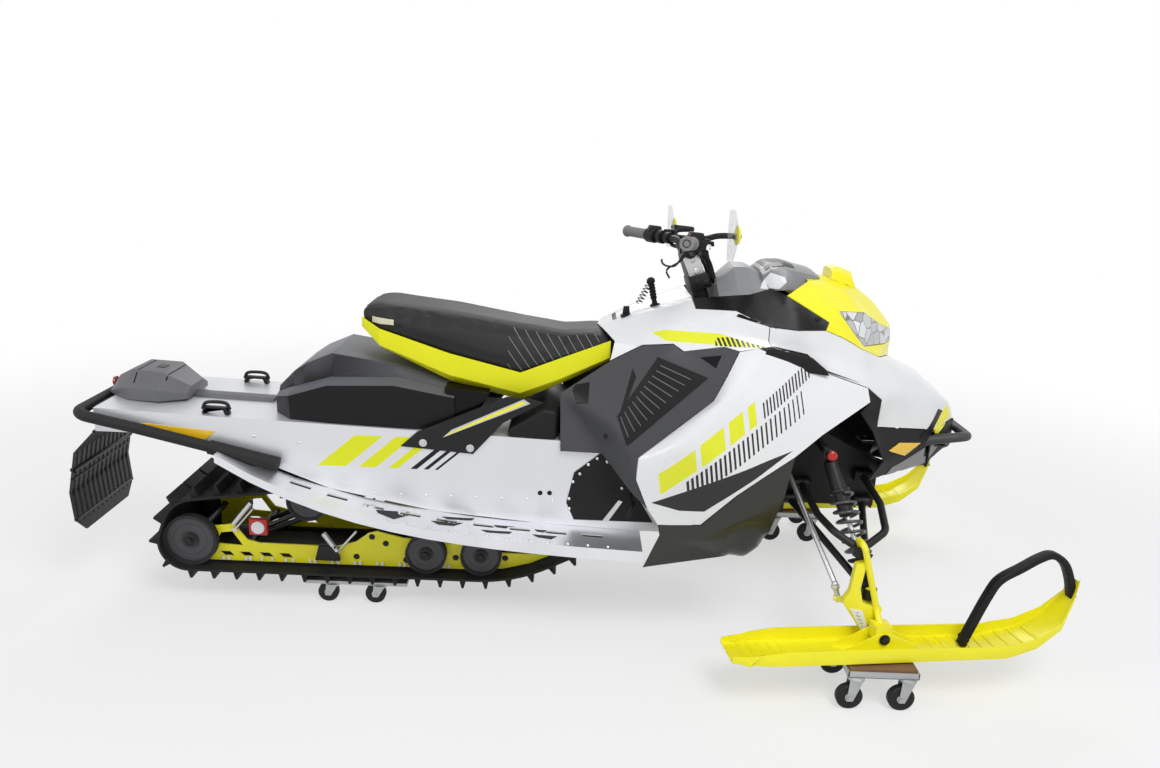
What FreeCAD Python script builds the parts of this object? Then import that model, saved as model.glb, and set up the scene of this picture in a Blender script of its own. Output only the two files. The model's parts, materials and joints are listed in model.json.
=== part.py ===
"""Snowmobile on transport dollies, built as separate named pieces.

Frame: +X points forward, +Y to the rider's left, +Z up, Z = 0 at the floor under the dolly
casters, X = 0 halfway along the machine. All sizes are millimetres.
"""
import FreeCAD
import Part
import math
import os

V = FreeCAD.Vector

# Fits shared by the whole machine
fit_gap = 0.3
running_gap = 0.05
panel_gap = 3.0
cut_overrun = 5.0
sheet_thickness = 3.0
panel_thickness = 4.0

# Track belt and its lugs
track_width = 381.0
lug_tip_z = 75.0
lug_height = 32.0
lug_base = 24.0
lug_tip = 7.0
lug_pitch = 72.6
lug_bite = 1.0
belt_thickness = 8.0
belt_float = 0.5
lug_strip_width = 108.0
lug_strip_gap = 14.0
belt_inner_z = lug_tip_z + lug_height + belt_thickness

# Wheels inside the track
idler_radius = 85.0
idler_x = -1163.0
idler_width = 26.0
wheel_radius = 66.0
wheel_width = 25.0
front_bogie_x = -237.0
rear_bogie_x = -413.0
upper_idler_x = -802.0
upper_idler_z = 327.0
upper_idler_y = 92.0
wheel_rim = 9.0
wheel_dish = 5.0
hub_radius = 24.0
hub_cap_height = 5.0
axle_radius = 10.0
bulge_radius = 108.0
bulge_x = -1125.0
bulge_z = 240.0
sprocket_radius = 84.0
sprocket_x = 240.0
sprocket_z = 400.0
sprocket_width = 22.0
sprocket_y = 62.0
sprocket_teeth = 8
sprocket_tooth = 12.0
sprocket_slack = 1.0
bend_radius = 500.0
bend_x = -250.0

# Slide rails
rail_y = 134.0
rail_thickness = 6.0
rail_slot_count = 4
slider_height = 10.0
slider_inside = 14.0
rail_rear_x = -1180.0
rail_height = 130.0
rail_curl = 30.7

# Arms and dampers of the track suspension
front_arm_top = (-120.0, 385.0)
front_arm_foot = (-330.0, 190.0)
rear_arm_top = (-500.0, 400.0)
rear_arm_foot_x = -985.0
rear_arm_foot_share = 0.42
scratcher_x = (-1026.0, -700.0)
scratcher_shares = (0.85, 0.35)
scratcher_reach = 62.0
scratcher_rise = 74.0

# Tunnel
tunnel_half_width = 205.0
tunnel_front_x = 345.0
tunnel_rear_x = -1405.0
tunnel_top_front_z = 590.0
tunnel_top_rear_z = 645.0
tunnel_rake = 210.0

# Running boards
board_outer_y = 352.0
board_tail_y = 282.0
board_length = 1282.0
board_front_x = 262.0
board_front_z = 314.0
board_rise = 225.0
board_sheet = 4.0
board_rim_width = 24.0
board_rim_height = 38.0
board_slot_count = 9
board_slot_length = 62.0
board_slot_width = 18.0

# Rear bumper, flap and tail cover
bumper_tube_radius = 17.0
sleeve_radius = 22.0
bumper_hoop_radius = 15.0
bumper_foot_y = 100.0
sleeve_length = 210.0
bumper_rear_x = -1452.0
bumper_rear_z = 632.0
bumper_leg_length = 604.0
bumper_leg_drop = 136.0
bumper_bend = 42.0
flap_half_width = 186.0
flap_thickness = 5.0
flap_low_z = 214.0
flap_reach = 112.0
flap_chamfer = 55.0
flap_bar_share = 0.20
cover_length = 262.0
cover_height = 100.0
cover_half_width = 128.0
strip_half_width = 30.0
strip_height = 12.0
anchor_length = 84.0
anchor_height = 22.0
anchor_width = 26.0
anchor_clearance = 145.0
anchor_y = 178.0

# Boxes that the outlines of the bodywork are shares of
body_rear_x = -100.0
body_length = 1000.0
body_low_z = 200.0
body_height = 1000.0
body_half_width = 400.0
tail_length = 1000.0
tail_front_x = 100.0
tail_rear_x = tail_front_x - tail_length
tail_low_z = 600.0
tail_height = 400.0
tail_half_width = 200.0
tank_half_width = 208.0
pan_half_length = 24.0
skirt_depth_shares = (0.075, 0.130, 0.170, 0.165, 0.165, 0.135)

# Engine
engine_width = 380.0
engine_height_shares = (0.188, 0.508)
engine_track_gap = 190.0
engine_bulkhead_gap = 12.0
cradle_rise = 3.0
cradle_depth = 40.0
cradle_overlap = 42.0
cradle_width = 26.0
cradle_inset = 62.0
cradle_bar = 18.0

# Steering
head_shares = (0.518, 0.846)
head_x = body_rear_x + head_shares[0] * body_length
head_z = body_low_z + head_shares[1] * body_height
head_rake = 21.0
bar_turn = 10.0
ski_turn_ratio = 0.8
post_radius = 13.0
post_collar_radius = 24.0
post_collar_length = 60.0
strut_radius = 10.0
strut_spread = 60.0
strut_stand = 88.0
carrier_half = 260.0
dash_foot = 0.820
dash_rest_length = 190.0
riser_height = 128.0
riser_width = 46.0
riser_depth = 52.0
bar_radius = 11.0
bar_half_span = 372.0
bar_sweep = 112.0
bar_centre_width = 150.0
bar_rise = 42.0
bar_bend = 40.0
bar_bore_radius = 8.5
bar_bore_depth = 60.0
grip_radius = 17.0
grip_length = 122.0
guard_reach = 118.0
guard_height = 118.0
guard_width = 92.0
guard_thickness = 4.0
lever_length = 128.0

# Front suspension
bulkhead_rear_share = 0.802
bulkhead_length = 308.0
bulkhead_half_width = 118.0
bulkhead_low_share = 0.195
bulkhead_height = 245.0
bulkhead_front_height = 150.0
bulkhead_rear_x = body_rear_x + bulkhead_rear_share * body_length
bulkhead_front_x = bulkhead_rear_x + bulkhead_length
bulkhead_low_z = body_low_z + bulkhead_low_share * body_height
bulkhead_high_z = bulkhead_low_z + bulkhead_height
bulkhead_front_z = bulkhead_low_z + bulkhead_front_height
kingpin_y = 470.0
lower_joint_reach = 203.0
lower_joint_x = bulkhead_rear_x + lower_joint_reach
lower_joint_z = 272.0
upper_joint_reach = 164.0
upper_joint_x = bulkhead_rear_x + upper_joint_reach
upper_joint_z = 402.0
ball_radius = 15.0
ball_seat_gap = 0.3
ball_housing_wall = 7.0
arm_radius = 11.0
arm_pivot_y = 138.0
upper_front_root_reach = 256.0
upper_front_root_x = bulkhead_rear_x + upper_front_root_reach
upper_front_root_rise = 110.0
upper_front_root_z = bulkhead_low_z + upper_front_root_rise
upper_rear_root_reach = 66.0
upper_rear_root_x = bulkhead_rear_x + upper_rear_root_reach
upper_rear_root_rise = 75.0
upper_rear_root_z = bulkhead_low_z + upper_rear_root_rise
lower_front_root_reach = 264.0
lower_front_root_x = bulkhead_rear_x + lower_front_root_reach
lower_rear_root_reach = 32.0
lower_rear_root_x = bulkhead_rear_x + lower_rear_root_reach
lower_root_rise = 23.0
lower_root_z = bulkhead_low_z + lower_root_rise
arm_sleeve_radius = 17.0
arm_sleeve_length = 44.0
shock_top_reach = 104.0
shock_top_x = bulkhead_rear_x + shock_top_reach
shock_top_y = 252.0
shock_top_drop = 28.0
shock_top_z = bulkhead_high_z - shock_top_drop
shock_foot_reach = 196.0
shock_foot_x = bulkhead_rear_x + shock_foot_reach
shock_foot_y = 425.0
shock_foot_z = 323.0
shock_body_radius = 24.0
shock_rod_radius = 8.0
shock_eye_radius = 15.0
shock_eye_width = 24.0
spring_radius = 36.0
spring_wire = 5.5
spring_turns = 7
tie_rod_radius = 8.0
tie_rod_root_reach = 10.0
tie_rod_root_x = bulkhead_rear_x + tie_rod_root_reach
tie_rod_root_rise = 135.0
tie_rod_root_z = bulkhead_low_z + tie_rod_root_rise
ear_sheet = 5.0
shock_pin_radius = 6.0

# Skis
ski_y = 538.0
ski_half_width = 70.0
ski_bottom_z = 128.0
ski_rear_setback = 271.0
ski_rear_x = bulkhead_rear_x - ski_rear_setback
ski_length = 1080.0
ski_front_x = ski_rear_x + ski_length
ski_wall = 5.0
ski_depth = 42.0
ski_tip_rise = 200.0
keel_depth = 3.0
keel_width = 30.0
ski_pivot_reach = 13.0
ski_pivot_x = lower_joint_x + ski_pivot_reach
ski_pivot_z = 176.0
ski_pivot_radius = 7.0
saddle_half_width = 22.0
loop_radius = 11.0

# Transport dollies
dolly_caster_radius = 37.0
dolly_plate = 25.0
dolly_length = 196.0
dolly_width = 196.0
caster_wheel_width = 22.0
caster_fork_sheet = 3.0
caster_trail = 14.0
caster_inset = 26.0
low_caster_radius = 33.0
low_dolly_plate = 5.0
low_dolly_length = 330.0
low_dolly_width = 320.0
low_dolly_x = -640.0

# Corners of the bodywork's left half, as shares of the body box's length, half width and height
cowl_corner_shares = {
    "top_rear": (0.203, 0, 0.727), "top_mid": (0.340, 0, 0.777), "top_front": (0.497, 0, 0.825),
    "rim_rear": (0.220, 0.225, 0.729), "rim_mid": (0.331, 0.250, 0.789),
    "rim_front": (0.482, 0.300, 0.841), "side_rear": (0.254, 0.400, 0.707),
    "side_low": (0.243, 0.425, 0.648), "band_rear": (0.388, 0.500, 0.759),
    "band_mid": (0.577, 0.625, 0.767), "band_front": (0.690, 0.688, 0.753),
    "knee_rear": (0.334, 0.525, 0.710), "knee_top": (0.421, 0.600, 0.724),
    "knee_step": (0.452, 0.637, 0.706), "knee_front": (0.565, 0.688, 0.729),
    "panel_rear": (0.607, 0.725, 0.721), "ear_rear": (0.489, 0.425, 0.818),
    "ear_low": (0.596, 0.600, 0.830), "ear_bend": (0.691, 0.675, 0.792),
    "ear_front": (0.772, 0.700, 0.787), "ear_chin": (0.854, 0.662, 0.788),
    "ear_tip": (0.865, 0.625, 0.809), "ear_peak": (0.701, 0.475, 0.892),
    "ear_crest": (0.638, 0.500, 0.873), "ear_brow": (0.743, 0.537, 0.876),
    "visor_rear": (0.821, 0.325, 0.909), "visor_brow": (0.903, 0.512, 0.834),
    "visor_mid": (0.944, 0.250, 0.881), "visor_back": (0.821, 0, 0.918),
    "visor_top": (0.985, 0, 0.899), "visor_front": (1.064, 0, 0.839), "beak": (1.133, 0, 0.762),
    "beak_side": (1.111, 0.138, 0.760), "beak_foot": (1.136, 0, 0.717),
    "lamp_high": (0.994, 0.375, 0.824), "lamp_inner_high": (1.057, 0.250, 0.785),
    "lamp_outer": (0.951, 0.537, 0.774), "lamp_low": (0.995, 0.463, 0.729),
    "lamp_front_low": (1.088, 0.212, 0.718), "lamp_inner_low": (1.124, 0.075, 0.717),
    "visor_foot": (0.913, 0.625, 0.764), "visor_lip": (0.977, 0.550, 0.728),
    "visor_base": (1.054, 0.400, 0.693), "chin": (1.136, 0, 0.663), "vent_rear": (0.699, 0.713, 0.737),
    "vent_mid": (0.825, 0.713, 0.699), "vent_front": (0.855, 0.725, 0.671),
    "hem_mid": (0.990, 0.713, 0.628), "notch": (1.038, 0.688, 0.591),
    "hem_corner": (1.036, 0.675, 0.506), "hem_front": (1.255, 0.375, 0.467),
    "nose_low": (1.350, 0.113, 0.474), "nose_foot": (1.374, 0, 0.461),
    "nose_side": (1.343, 0.100, 0.521), "crease_rear": (0.829, 0.688, 0.726),
    "crease_mid": (0.990, 0.625, 0.661), "crease_front": (1.113, 0.537, 0.601),
    "crease_tip": (1.259, 0.300, 0.537), "brow_mid": (1.180, 0.275, 0.630),
    "brow_front": (1.292, 0.188, 0.555), "ridge_mid": (1.231, 0, 0.620),
    "ridge_front": (1.316, 0, 0.551), "nose_top": (1.360, 0, 0.511),
    "panel_peak": (0.659, 0.750, 0.736), "vent_sill": (0.780, 0.762, 0.688),
    "skirt_6": (0.997, 0.750, 0.589), "skirt_5": (0.852, 0.900, 0.502),
    "skirt_4": (0.777, 0.950, 0.440), "skirt_3": (0.693, 0.963, 0.377),
    "skirt_2": (0.619, 0.950, 0.314), "skirt_1": (0.525, 0.912, 0.213),
    "skirt_0": (0.400, 0.887, 0.203), "flank_0": (0.366, 0.887, 0.253),
    "flank_1": (0.329, 0.875, 0.339), "flank_2": (0.332, 0.850, 0.404),
    "flank_3": (0.540, 0.800, 0.579), "flank_4": (0.574, 0.775, 0.650),
    "shoulder_low": (0.438, 0.963, 0.465), "shoulder_mid": (0.571, 0.887, 0.600),
    "shoulder_front": (0.735, 0.887, 0.578), "keel_mid": (0.407, 0.887, 0.169),
    "keel_rear": (0.367, 0.838, 0.054), "keel_low": (0.607, 0.825, 0.098),
    "keel_foot": (0.673, 0.787, 0.082), "keel_front_1": (0.708, 0.812, 0.118),
    "keel_front_2": (0.733, 0.863, 0.186), "keel_front_3": (0.764, 0.900, 0.307),
    "keel_bulge": (0.573, 0.930, 0.177), "keel_front_bulge": (0.666, 0.938, 0.240),
    "arch_top": (0.972, 0.750, 0.556), "arch_mid": (1.022, 0.713, 0.494),
    "arch_low": (1.076, 0.625, 0.393), "arch_inner": (1.112, 0.400, 0.320),
    "arch_foot": (1.048, 0.550, 0.316), "fang": (1.228, 0.425, 0.429), "snout": (1.321, 0.250, 0.433),
    "snout_front": (1.333, 0.200, 0.393), "snout_low": (1.262, 0.300, 0.343),
    "snout_mid": (1.380, 0, 0.411), "snout_front_mid": (1.384, 0, 0.366),
    "snout_low_mid": (1.315, 0, 0.340), "chin_foot": (1.120, 0, 0.322), "pan_low": (0.510, 0, 0.092),
    "pan_foot": (0.673, 0, 0.080), "pan_front": (0.715, 0, 0.112), "pan_rise": (0.780, 0, 0.165),
    "console_high": (0.097, 0.412, 0.540), "console_rear": (0.104, 0.556, 0.372),
    "console_low": (0.232, 0.562, 0.371), "hip": (0.254, 0.713, 0.484), "ankle": (0.316, 0.825, 0.294),
    "pad_top": (0.387, 0.637, 0.697), "pad_front": (0.528, 0.750, 0.643),
    "pad_low": (0.296, 0.812, 0.439), "pad_rear": (0.281, 0.750, 0.471),
}

# Axis that every body facet faces away from
core_rear_x = 200.0
core_front_x = 900.0
core_z = 700.0


def cylinder(radius, length, base, direction):
    """Round bar from a base point along a direction."""
    return Part.makeCylinder(radius, length, base, direction)


def bar(radius, start, end):
    """Round bar between two points."""
    run = end - start
    return Part.makeCylinder(radius, run.Length, start, run)


def box(low, high):
    """Block between two opposite corners."""
    size = high - low
    return Part.makeBox(size.x, size.y, size.z, low)


def across(radius, half_width, x, z):
    """Round bar across the machine, centred on its middle plane."""
    return Part.makeCylinder(radius, 2 * half_width, V(x, -half_width, z), V(0, 1, 0))


def mirrored(shape):
    """The same shape on the other side of the middle plane."""
    return shape.mirror(V(0, 0, 0), V(0, 1, 0))


def pair(shape):
    """A shape and its mirror image as one compound of separate solids."""
    return Part.makeCompound([shape, mirrored(shape)])


def joined(shapes):
    """Union of several shapes."""
    return shapes[0].multiFuse(shapes[1:]).removeSplitter()


def polygon_face(points):
    """Flat face inside a closed run of points."""
    return Part.Face(Part.makePolygon(list(points) + [points[0]]))


def side_plate(outline, y_from, y_to):
    """Outline of (x, z) points, as thick as the distance between two Y planes."""
    face = polygon_face([V(x, y_from, z) for x, z in outline])
    return face.extrude(V(0, y_to - y_from, 0))


def plan_plate(outline, z_from, z_to):
    """Outline of (x, y) points, extruded upwards."""
    face = polygon_face([V(x, y, z_from) for x, y in outline])
    return face.extrude(V(0, 0, z_to - z_from))


def rounded_path(points, radius):
    """Wire of straight runs joined by tangent arcs of one radius, or less on short runs."""
    edges = []
    last = points[0]
    for before, corner, after in zip(points, points[1:], points[2:]):
        inward = (before - corner).normalize()
        outward = (after - corner).normalize()
        turn = math.pi - inward.getAngle(outward)
        if turn < 1e-3:
            continue
        room = 0.48 * min((before - corner).Length, (after - corner).Length)
        cut = min(radius * math.tan(turn / 2), room)
        bow = cut / math.tan(turn / 2)
        start = corner + inward * cut
        end = corner + outward * cut
        middle_way = (inward + outward).normalize()
        to_centre = bow / math.cos(turn / 2)
        middle = corner + middle_way * (to_centre - bow)
        if (start - last).Length > 1e-6:
            edges.append(Part.LineSegment(last, start).toShape())
        edges.append(Part.Arc(start, middle, end).toShape())
        last = end
    edges.append(Part.LineSegment(last, points[-1]).toShape())
    return Part.Wire(edges)


def tube(points, radius, bend):
    """Round bar swept along straight runs and tangent arcs."""
    path = rounded_path(points, bend)
    first = (points[1] - points[0]).normalize()
    ring = Part.Wire([Part.makeCircle(radius, points[0], first)])
    return path.makePipeShell([ring], True, False)


def turned(profile, x, y, z):
    """Solid of revolution about an axis along Y; the profile holds (radius, y) points."""
    face = polygon_face([V(x + r, y + w, z) for r, w in profile])
    return face.revolve(V(x, 0, z), V(0, 1, 0), 360)


def ruled_solid(sections):
    """Solid with straight-ruled sides through closed sections of equal point count."""
    wires = [Part.makePolygon(list(section) + [section[0]]) for section in sections]
    return Part.makeLoft(wires, True, True)


def body_point(shares):
    """Point from shares of the body's length, half width and height."""
    sx, sy, sz = shares
    return V(body_rear_x + sx * body_length, sy * body_half_width, body_low_z + sz * body_height)


def tail_point(shares):
    """Point from shares of the seat and tail's length, half width and height."""
    sx, sy, sz = shares
    return V(tail_rear_x + sx * tail_length, sy * tail_half_width, tail_low_z + sz * tail_height)


def tail_solid(stations):
    """Solid through stations of (share along, [(share across, share up), ...]), both halves."""
    sections = []
    for along, half in stations:
        right = [tail_point((along, -sy, sz)) for sy, sz in half]
        left = [tail_point((along, sy, sz)) for sy, sz in reversed(half)]
        sections.append(right + left)
    return ruled_solid(sections)


def belt_pulleys():
    """Circles that the belt runs round, as (x, z, radius), clockwise seen from the right."""
    return [
        (idler_x, belt_inner_z + idler_radius + belt_float, idler_radius + belt_float),
        (bulge_x, bulge_z, bulge_radius),
        (upper_idler_x, upper_idler_z, wheel_radius + belt_float),
        (sprocket_x, sprocket_z, sprocket_radius + belt_float),
        (bend_x, belt_inner_z + bend_radius, bend_radius),
    ]


def belt_touch_points(offset):
    """Start and end of the belt's arc on each circle, as ((x, z), radius, in, out) angles."""
    circles = [(x, z, r + offset) for x, z, r in belt_pulleys()]
    leaves = []
    for here, there in zip(circles, circles[1:] + circles[:1]):
        dx, dz = there[0] - here[0], there[1] - here[1]
        span = math.hypot(dx, dz)
        tilt = math.acos((here[2] - there[2]) / span)
        leaves.append(math.atan2(dz, dx) + tilt)
    arcs = []
    for index, (x, z, r) in enumerate(circles):
        arcs.append((x, z, r, leaves[index - 1], leaves[index]))
    return arcs


def belt_wire(offset):
    """Closed belt line, a distance outside the circles, in the middle plane."""
    edges = []
    arcs = belt_touch_points(offset)
    for index, (x, z, r, begin, end) in enumerate(arcs):
        end = begin - (begin - end) % (2 * math.pi)
        spot = [V(x + r * math.cos(a), 0, z + r * math.sin(a)) for a in (begin, (begin + end) / 2, end)]
        edges.append(Part.Arc(*spot).toShape())
        nx, nz, nr, nbegin, _ = arcs[(index + 1) % len(arcs)]
        target = V(nx + nr * math.cos(nbegin), 0, nz + nr * math.sin(nbegin))
        edges.append(Part.LineSegment(spot[2], target).toShape())
    return Part.Wire(edges)


def track():
    """Rubber belt in one closed loop, with three rows of raised lugs."""
    outer = belt_wire(belt_thickness)
    inner = belt_wire(0)
    ring = Part.Face(outer).cut(Part.Face(inner))
    ring.translate(V(0, -track_width / 2, 0))
    belt = ring.extrude(V(0, track_width, 0))
    count = round(outer.Length / lug_pitch)
    marks = outer.discretize(Number=count + 1)[:count]
    ahead = outer.discretize(Number=20 * count + 1)
    lugs = []
    for index, mark in enumerate(marks):
        along = (ahead[20 * index + 1] - ahead[20 * index - 1 if index else 20 * count - 1]).normalize()
        out = V(-along.z, 0, along.x)
        root = mark - out * lug_bite
        tip = mark + out * lug_height
        outline = [root - along * (lug_base / 2), root + along * (lug_base / 2),
                   tip + along * (lug_tip / 2), tip - along * (lug_tip / 2)]
        wedge = polygon_face(outline)
        for strip in (-1, 0, 1):
            start = strip * (lug_strip_width + lug_strip_gap) - lug_strip_width / 2
            solid = wedge.copy()
            solid.translate(V(0, start, 0))
            lugs.append(solid.extrude(V(0, lug_strip_width, 0)))
    return belt.multiFuse(lugs)


def disc_wheel(x, z, y_inner, radius, width, side):
    """Dished wheel with a raised rim and a hub cap on its outer face."""
    outer = width
    profile = [
        (axle_radius + running_gap, 0), (radius, 0), (radius, outer), (radius - wheel_rim, outer),
        (radius - wheel_rim, outer - wheel_dish), (hub_radius, outer - wheel_dish),
        (hub_radius, outer), (axle_radius + running_gap, outer),
    ]
    points = [(r, side * w) for r, w in profile]
    return turned(points, x, side * y_inner, z)


def track_wheels():
    """Rear idlers, two bogie pairs and the upper idler pair, each with its axle."""
    outside = rail_y + rail_thickness + fit_gap
    idler_z = belt_inner_z + idler_radius + belt_float
    bogie_z = belt_inner_z + wheel_radius + belt_float
    rows = [
        (idler_x, idler_z, outside, idler_radius, idler_width),
        (front_bogie_x, bogie_z, outside, wheel_radius, wheel_width),
        (rear_bogie_x, bogie_z, outside, wheel_radius, wheel_width),
        (upper_idler_x, upper_idler_z, upper_idler_y, wheel_radius, wheel_width),
    ]
    shapes = []
    for x, z, y, radius, width in rows:
        shapes.append(pair(disc_wheel(x, z, y, radius, width, 1)))
        end = y + width + hub_cap_height
        shapes.append(across(axle_radius, end, x, z))
    return Part.makeCompound(shapes)


def rail_outline():
    """Side outline of a slide rail: straight foot, front curved round the belt's bend, raised rear."""
    low = belt_inner_z + slider_height
    run = bend_x - rail_rear_x
    centre_z = belt_inner_z + bend_radius
    reach = bend_radius - slider_height
    top_shares = [(1.203, 0.477), (1.081, 0.477), (1.02, 0.62), (0.742, 0.78), (0.655, 0.93), (0.624, 0.87),
                  (0.581, 0.63), (0.507, 0.47), (0.420, 0.48), (0.247, 0.49), (0.204, 0.57),
                  (0.161, 0.98), (0.081, 0.90), (0.0, 0.80)]
    points = [(rail_rear_x, low), (bend_x, low)]
    for share in (0.33, 0.67, 1.0):
        angle = math.radians(share * rail_curl)
        points.append((bend_x + reach * math.sin(angle), centre_z - reach * math.cos(angle)))
    for along, up in top_shares:
        points.append((rail_rear_x + along * run, low + up * rail_height))
    return points


def suspension_rails():
    """Two slide rails with lightening slots and clear holes for the axles."""
    low = belt_inner_z + slider_height
    run = bend_x - rail_rear_x
    rail = side_plate(rail_outline(), rail_y, rail_y + rail_thickness)
    cuts = []
    for x, z in ((idler_x, belt_inner_z + idler_radius + belt_float),
                 (front_bogie_x, belt_inner_z + wheel_radius + belt_float),
                 (rear_bogie_x, belt_inner_z + wheel_radius + belt_float)):
        cuts.append(cylinder(axle_radius + running_gap, 2 * rail_y, V(x, 0, z), V(0, 1, 0)))
    slot_run = 0.068 * run
    for index in range(rail_slot_count):
        start = rail_rear_x + 0.105 * run + index * slot_run
        foot = low + 0.12 * rail_height
        head = low + 0.24 * rail_height
        lean = 0.25 * slot_run
        outline = [(start + lean, foot), (start + 0.8 * slot_run, foot),
                   (start + 0.8 * slot_run - lean, head), (start, head)]
        cuts.append(side_plate(outline, 0, 2 * rail_y))
    window = [(rail_rear_x + along * run, low + up * rail_height)
              for along, up in ((0.095, 0.44), (0.190, 0.40), (0.155, 0.78), (0.115, 0.74))]
    cuts.append(side_plate(window, 0, 2 * rail_y))
    rail = rail.cut(Part.makeCompound(cuts))
    return pair(rail)


def slide_shoes():
    """Plastic shoes under the rails that the belt slides on."""
    low = belt_inner_z + belt_float
    high = belt_inner_z + slider_height - fit_gap
    run = bend_x - rail_rear_x
    shoe = box(V(rail_rear_x + 0.11 * run, rail_y - slider_inside, low),
               V(bend_x, rail_y + rail_thickness, high))
    return pair(shoe)


def tunnel_top(x):
    """Height of the tunnel's upper face at a place along the machine."""
    share = (x - tunnel_front_x) / (tunnel_rear_x - tunnel_front_x)
    return tunnel_top_front_z + share * (tunnel_top_rear_z - tunnel_top_front_z)


def board_line(x):
    """Height of the running board's upper face at a place along the machine."""
    share = (board_front_x - x) / board_length
    return board_front_z + board_rise * (0.22 * share + 0.78 * share ** 3.5)


def tunnel():
    """Sheet-metal channel over the track, open below, with raked rear ends."""
    front, rear = tunnel_front_x, tunnel_rear_x
    foot = [board_line(board_front_x - share * board_length) for share in (0, 0.25, 0.5, 0.75, 1)]
    rise = tunnel_rake
    outline = [(front, foot[0]), (board_front_x, foot[0])]
    for share, z in zip((0.25, 0.5, 0.75, 1), foot[1:]):
        outline.append((board_front_x - share * board_length, z))
    outline += [(rear + rise, foot[4] + 0.15 * rise), (rear, tunnel_top(rear) - 0.35 * rise),
                (rear, tunnel_top(rear)), (front, tunnel_top(front))]
    solid = side_plate(outline, -tunnel_half_width, tunnel_half_width)
    wide = tunnel_half_width - sheet_thickness
    inner_low = min(z for _, z in outline) - cut_overrun
    inner = [(front + cut_overrun, inner_low), (rear - cut_overrun, inner_low),
             (rear - cut_overrun, tunnel_top(rear) - sheet_thickness),
             (front + cut_overrun, tunnel_top(front) - sheet_thickness)]
    hollow = side_plate(inner, -wide, wide)
    solid = solid.cut(hollow)
    axle_hole = across(axle_radius + running_gap, tunnel_half_width + cut_overrun, sprocket_x, sprocket_z)
    return solid.cut(axle_hole)


def drive_axle():
    """Axle across the tunnel's front with two toothed drive sprockets."""
    shapes = [across(axle_radius, tunnel_half_width, sprocket_x, sprocket_z)]
    hub = sprocket_radius - sprocket_tooth
    for side in (-1, 1):
        centre = side * sprocket_y
        disc = across(hub, sprocket_width / 2, sprocket_x, sprocket_z)
        disc.translate(V(0, centre, 0))
        teeth = []
        for index in range(sprocket_teeth):
            angle = index * 360 / sprocket_teeth
            tooth = box(V(hub - sprocket_tooth, centre - sprocket_width / 2, -sprocket_tooth / 2),
                        V(sprocket_radius - sprocket_slack, centre + sprocket_width / 2, sprocket_tooth / 2))
            tooth.rotate(V(0, 0, 0), V(0, 1, 0), angle)
            tooth.translate(V(sprocket_x, 0, sprocket_z))
            teeth.append(tooth)
        shapes.append(joined([disc] + teeth))
    return joined(shapes)


def running_boards():
    """Foot boards beside the tunnel: a slotted sheet with a deep outer rim."""
    count = 12
    xs = [board_front_x - index * board_length / count for index in range(count + 1)]
    top = [(x, board_line(x)) for x in xs]
    inner = tunnel_half_width + fit_gap
    outer_edge = []
    for x in xs:
        share = (board_front_x - x) / board_length
        outer_edge.append((x, board_outer_y - (board_outer_y - board_tail_y) * share ** 3))
    plan_sheet = outer_edge + [(xs[-1], inner), (xs[0], inner)]
    plan_rim = outer_edge + [(x, y - board_rim_width) for x, y in reversed(outer_edge)]
    low_z, high_z = 0, body_low_z + body_height
    sheet_band = top + [(x, z - board_sheet) for x, z in reversed(top)]
    rim_band = []
    for x, z in reversed(top):
        share = (board_front_x - x) / board_length
        rim_band.append((x, z - board_rim_height * (1 - 0.35 * share)))
    rim_band = top + rim_band
    sheet = side_plate(sheet_band, 0, body_half_width).common(plan_plate(plan_sheet, low_z, high_z))
    rim = side_plate(rim_band, 0, body_half_width).common(plan_plate(plan_rim, low_z, high_z))
    board = sheet.fuse(rim)
    cuts = []
    slot_y = (inner + board_outer_y - board_rim_width) / 2
    for index in range(board_slot_count):
        x = board_front_x - (index + 1.6) * board_length / (board_slot_count + 2.5)
        share = (board_front_x - x) / board_length
        y = slot_y - (board_outer_y - board_tail_y) * share ** 3 / 2
        cuts.append(box(V(x, y - board_slot_width / 2, low_z),
                        V(x + board_slot_length, y + board_slot_width / 2, high_z)))
    start, middle, corner = bumper_leg()
    room = sleeve_radius + panel_gap
    cuts += [bar(room, start + (start - middle).normalize() * room, middle), bar(room, middle, corner)]
    board = board.cut(Part.makeCompound(cuts))
    return pair(board)


def bumper_leg():
    """Left leg of the rear bumper from its front end to the corner."""
    leg_y = tunnel_half_width + sleeve_radius + fit_gap
    start = V(bumper_rear_x + bumper_leg_length, leg_y, bumper_rear_z - bumper_leg_drop)
    middle = V(bumper_rear_x + 0.3 * bumper_leg_length, leg_y, bumper_rear_z - 0.28 * bumper_leg_drop)
    corner = V(bumper_rear_x, leg_y, bumper_rear_z)
    return start, middle, corner


def rear_bumper():
    """Grab bar round the tail: a tube loop with thick sleeves on its front ends."""
    start, middle, corner = bumper_leg()
    right = [V(p.x, -p.y, p.z) for p in (start, middle, corner)]
    left = [corner, middle, start]
    loop = tube(right + left, bumper_tube_radius, bumper_bend)
    way = (middle - start).normalize()
    sleeves = pair(bar(sleeve_radius, start, start + way * sleeve_length))
    return joined([loop] + sleeves.Solids)


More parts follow.
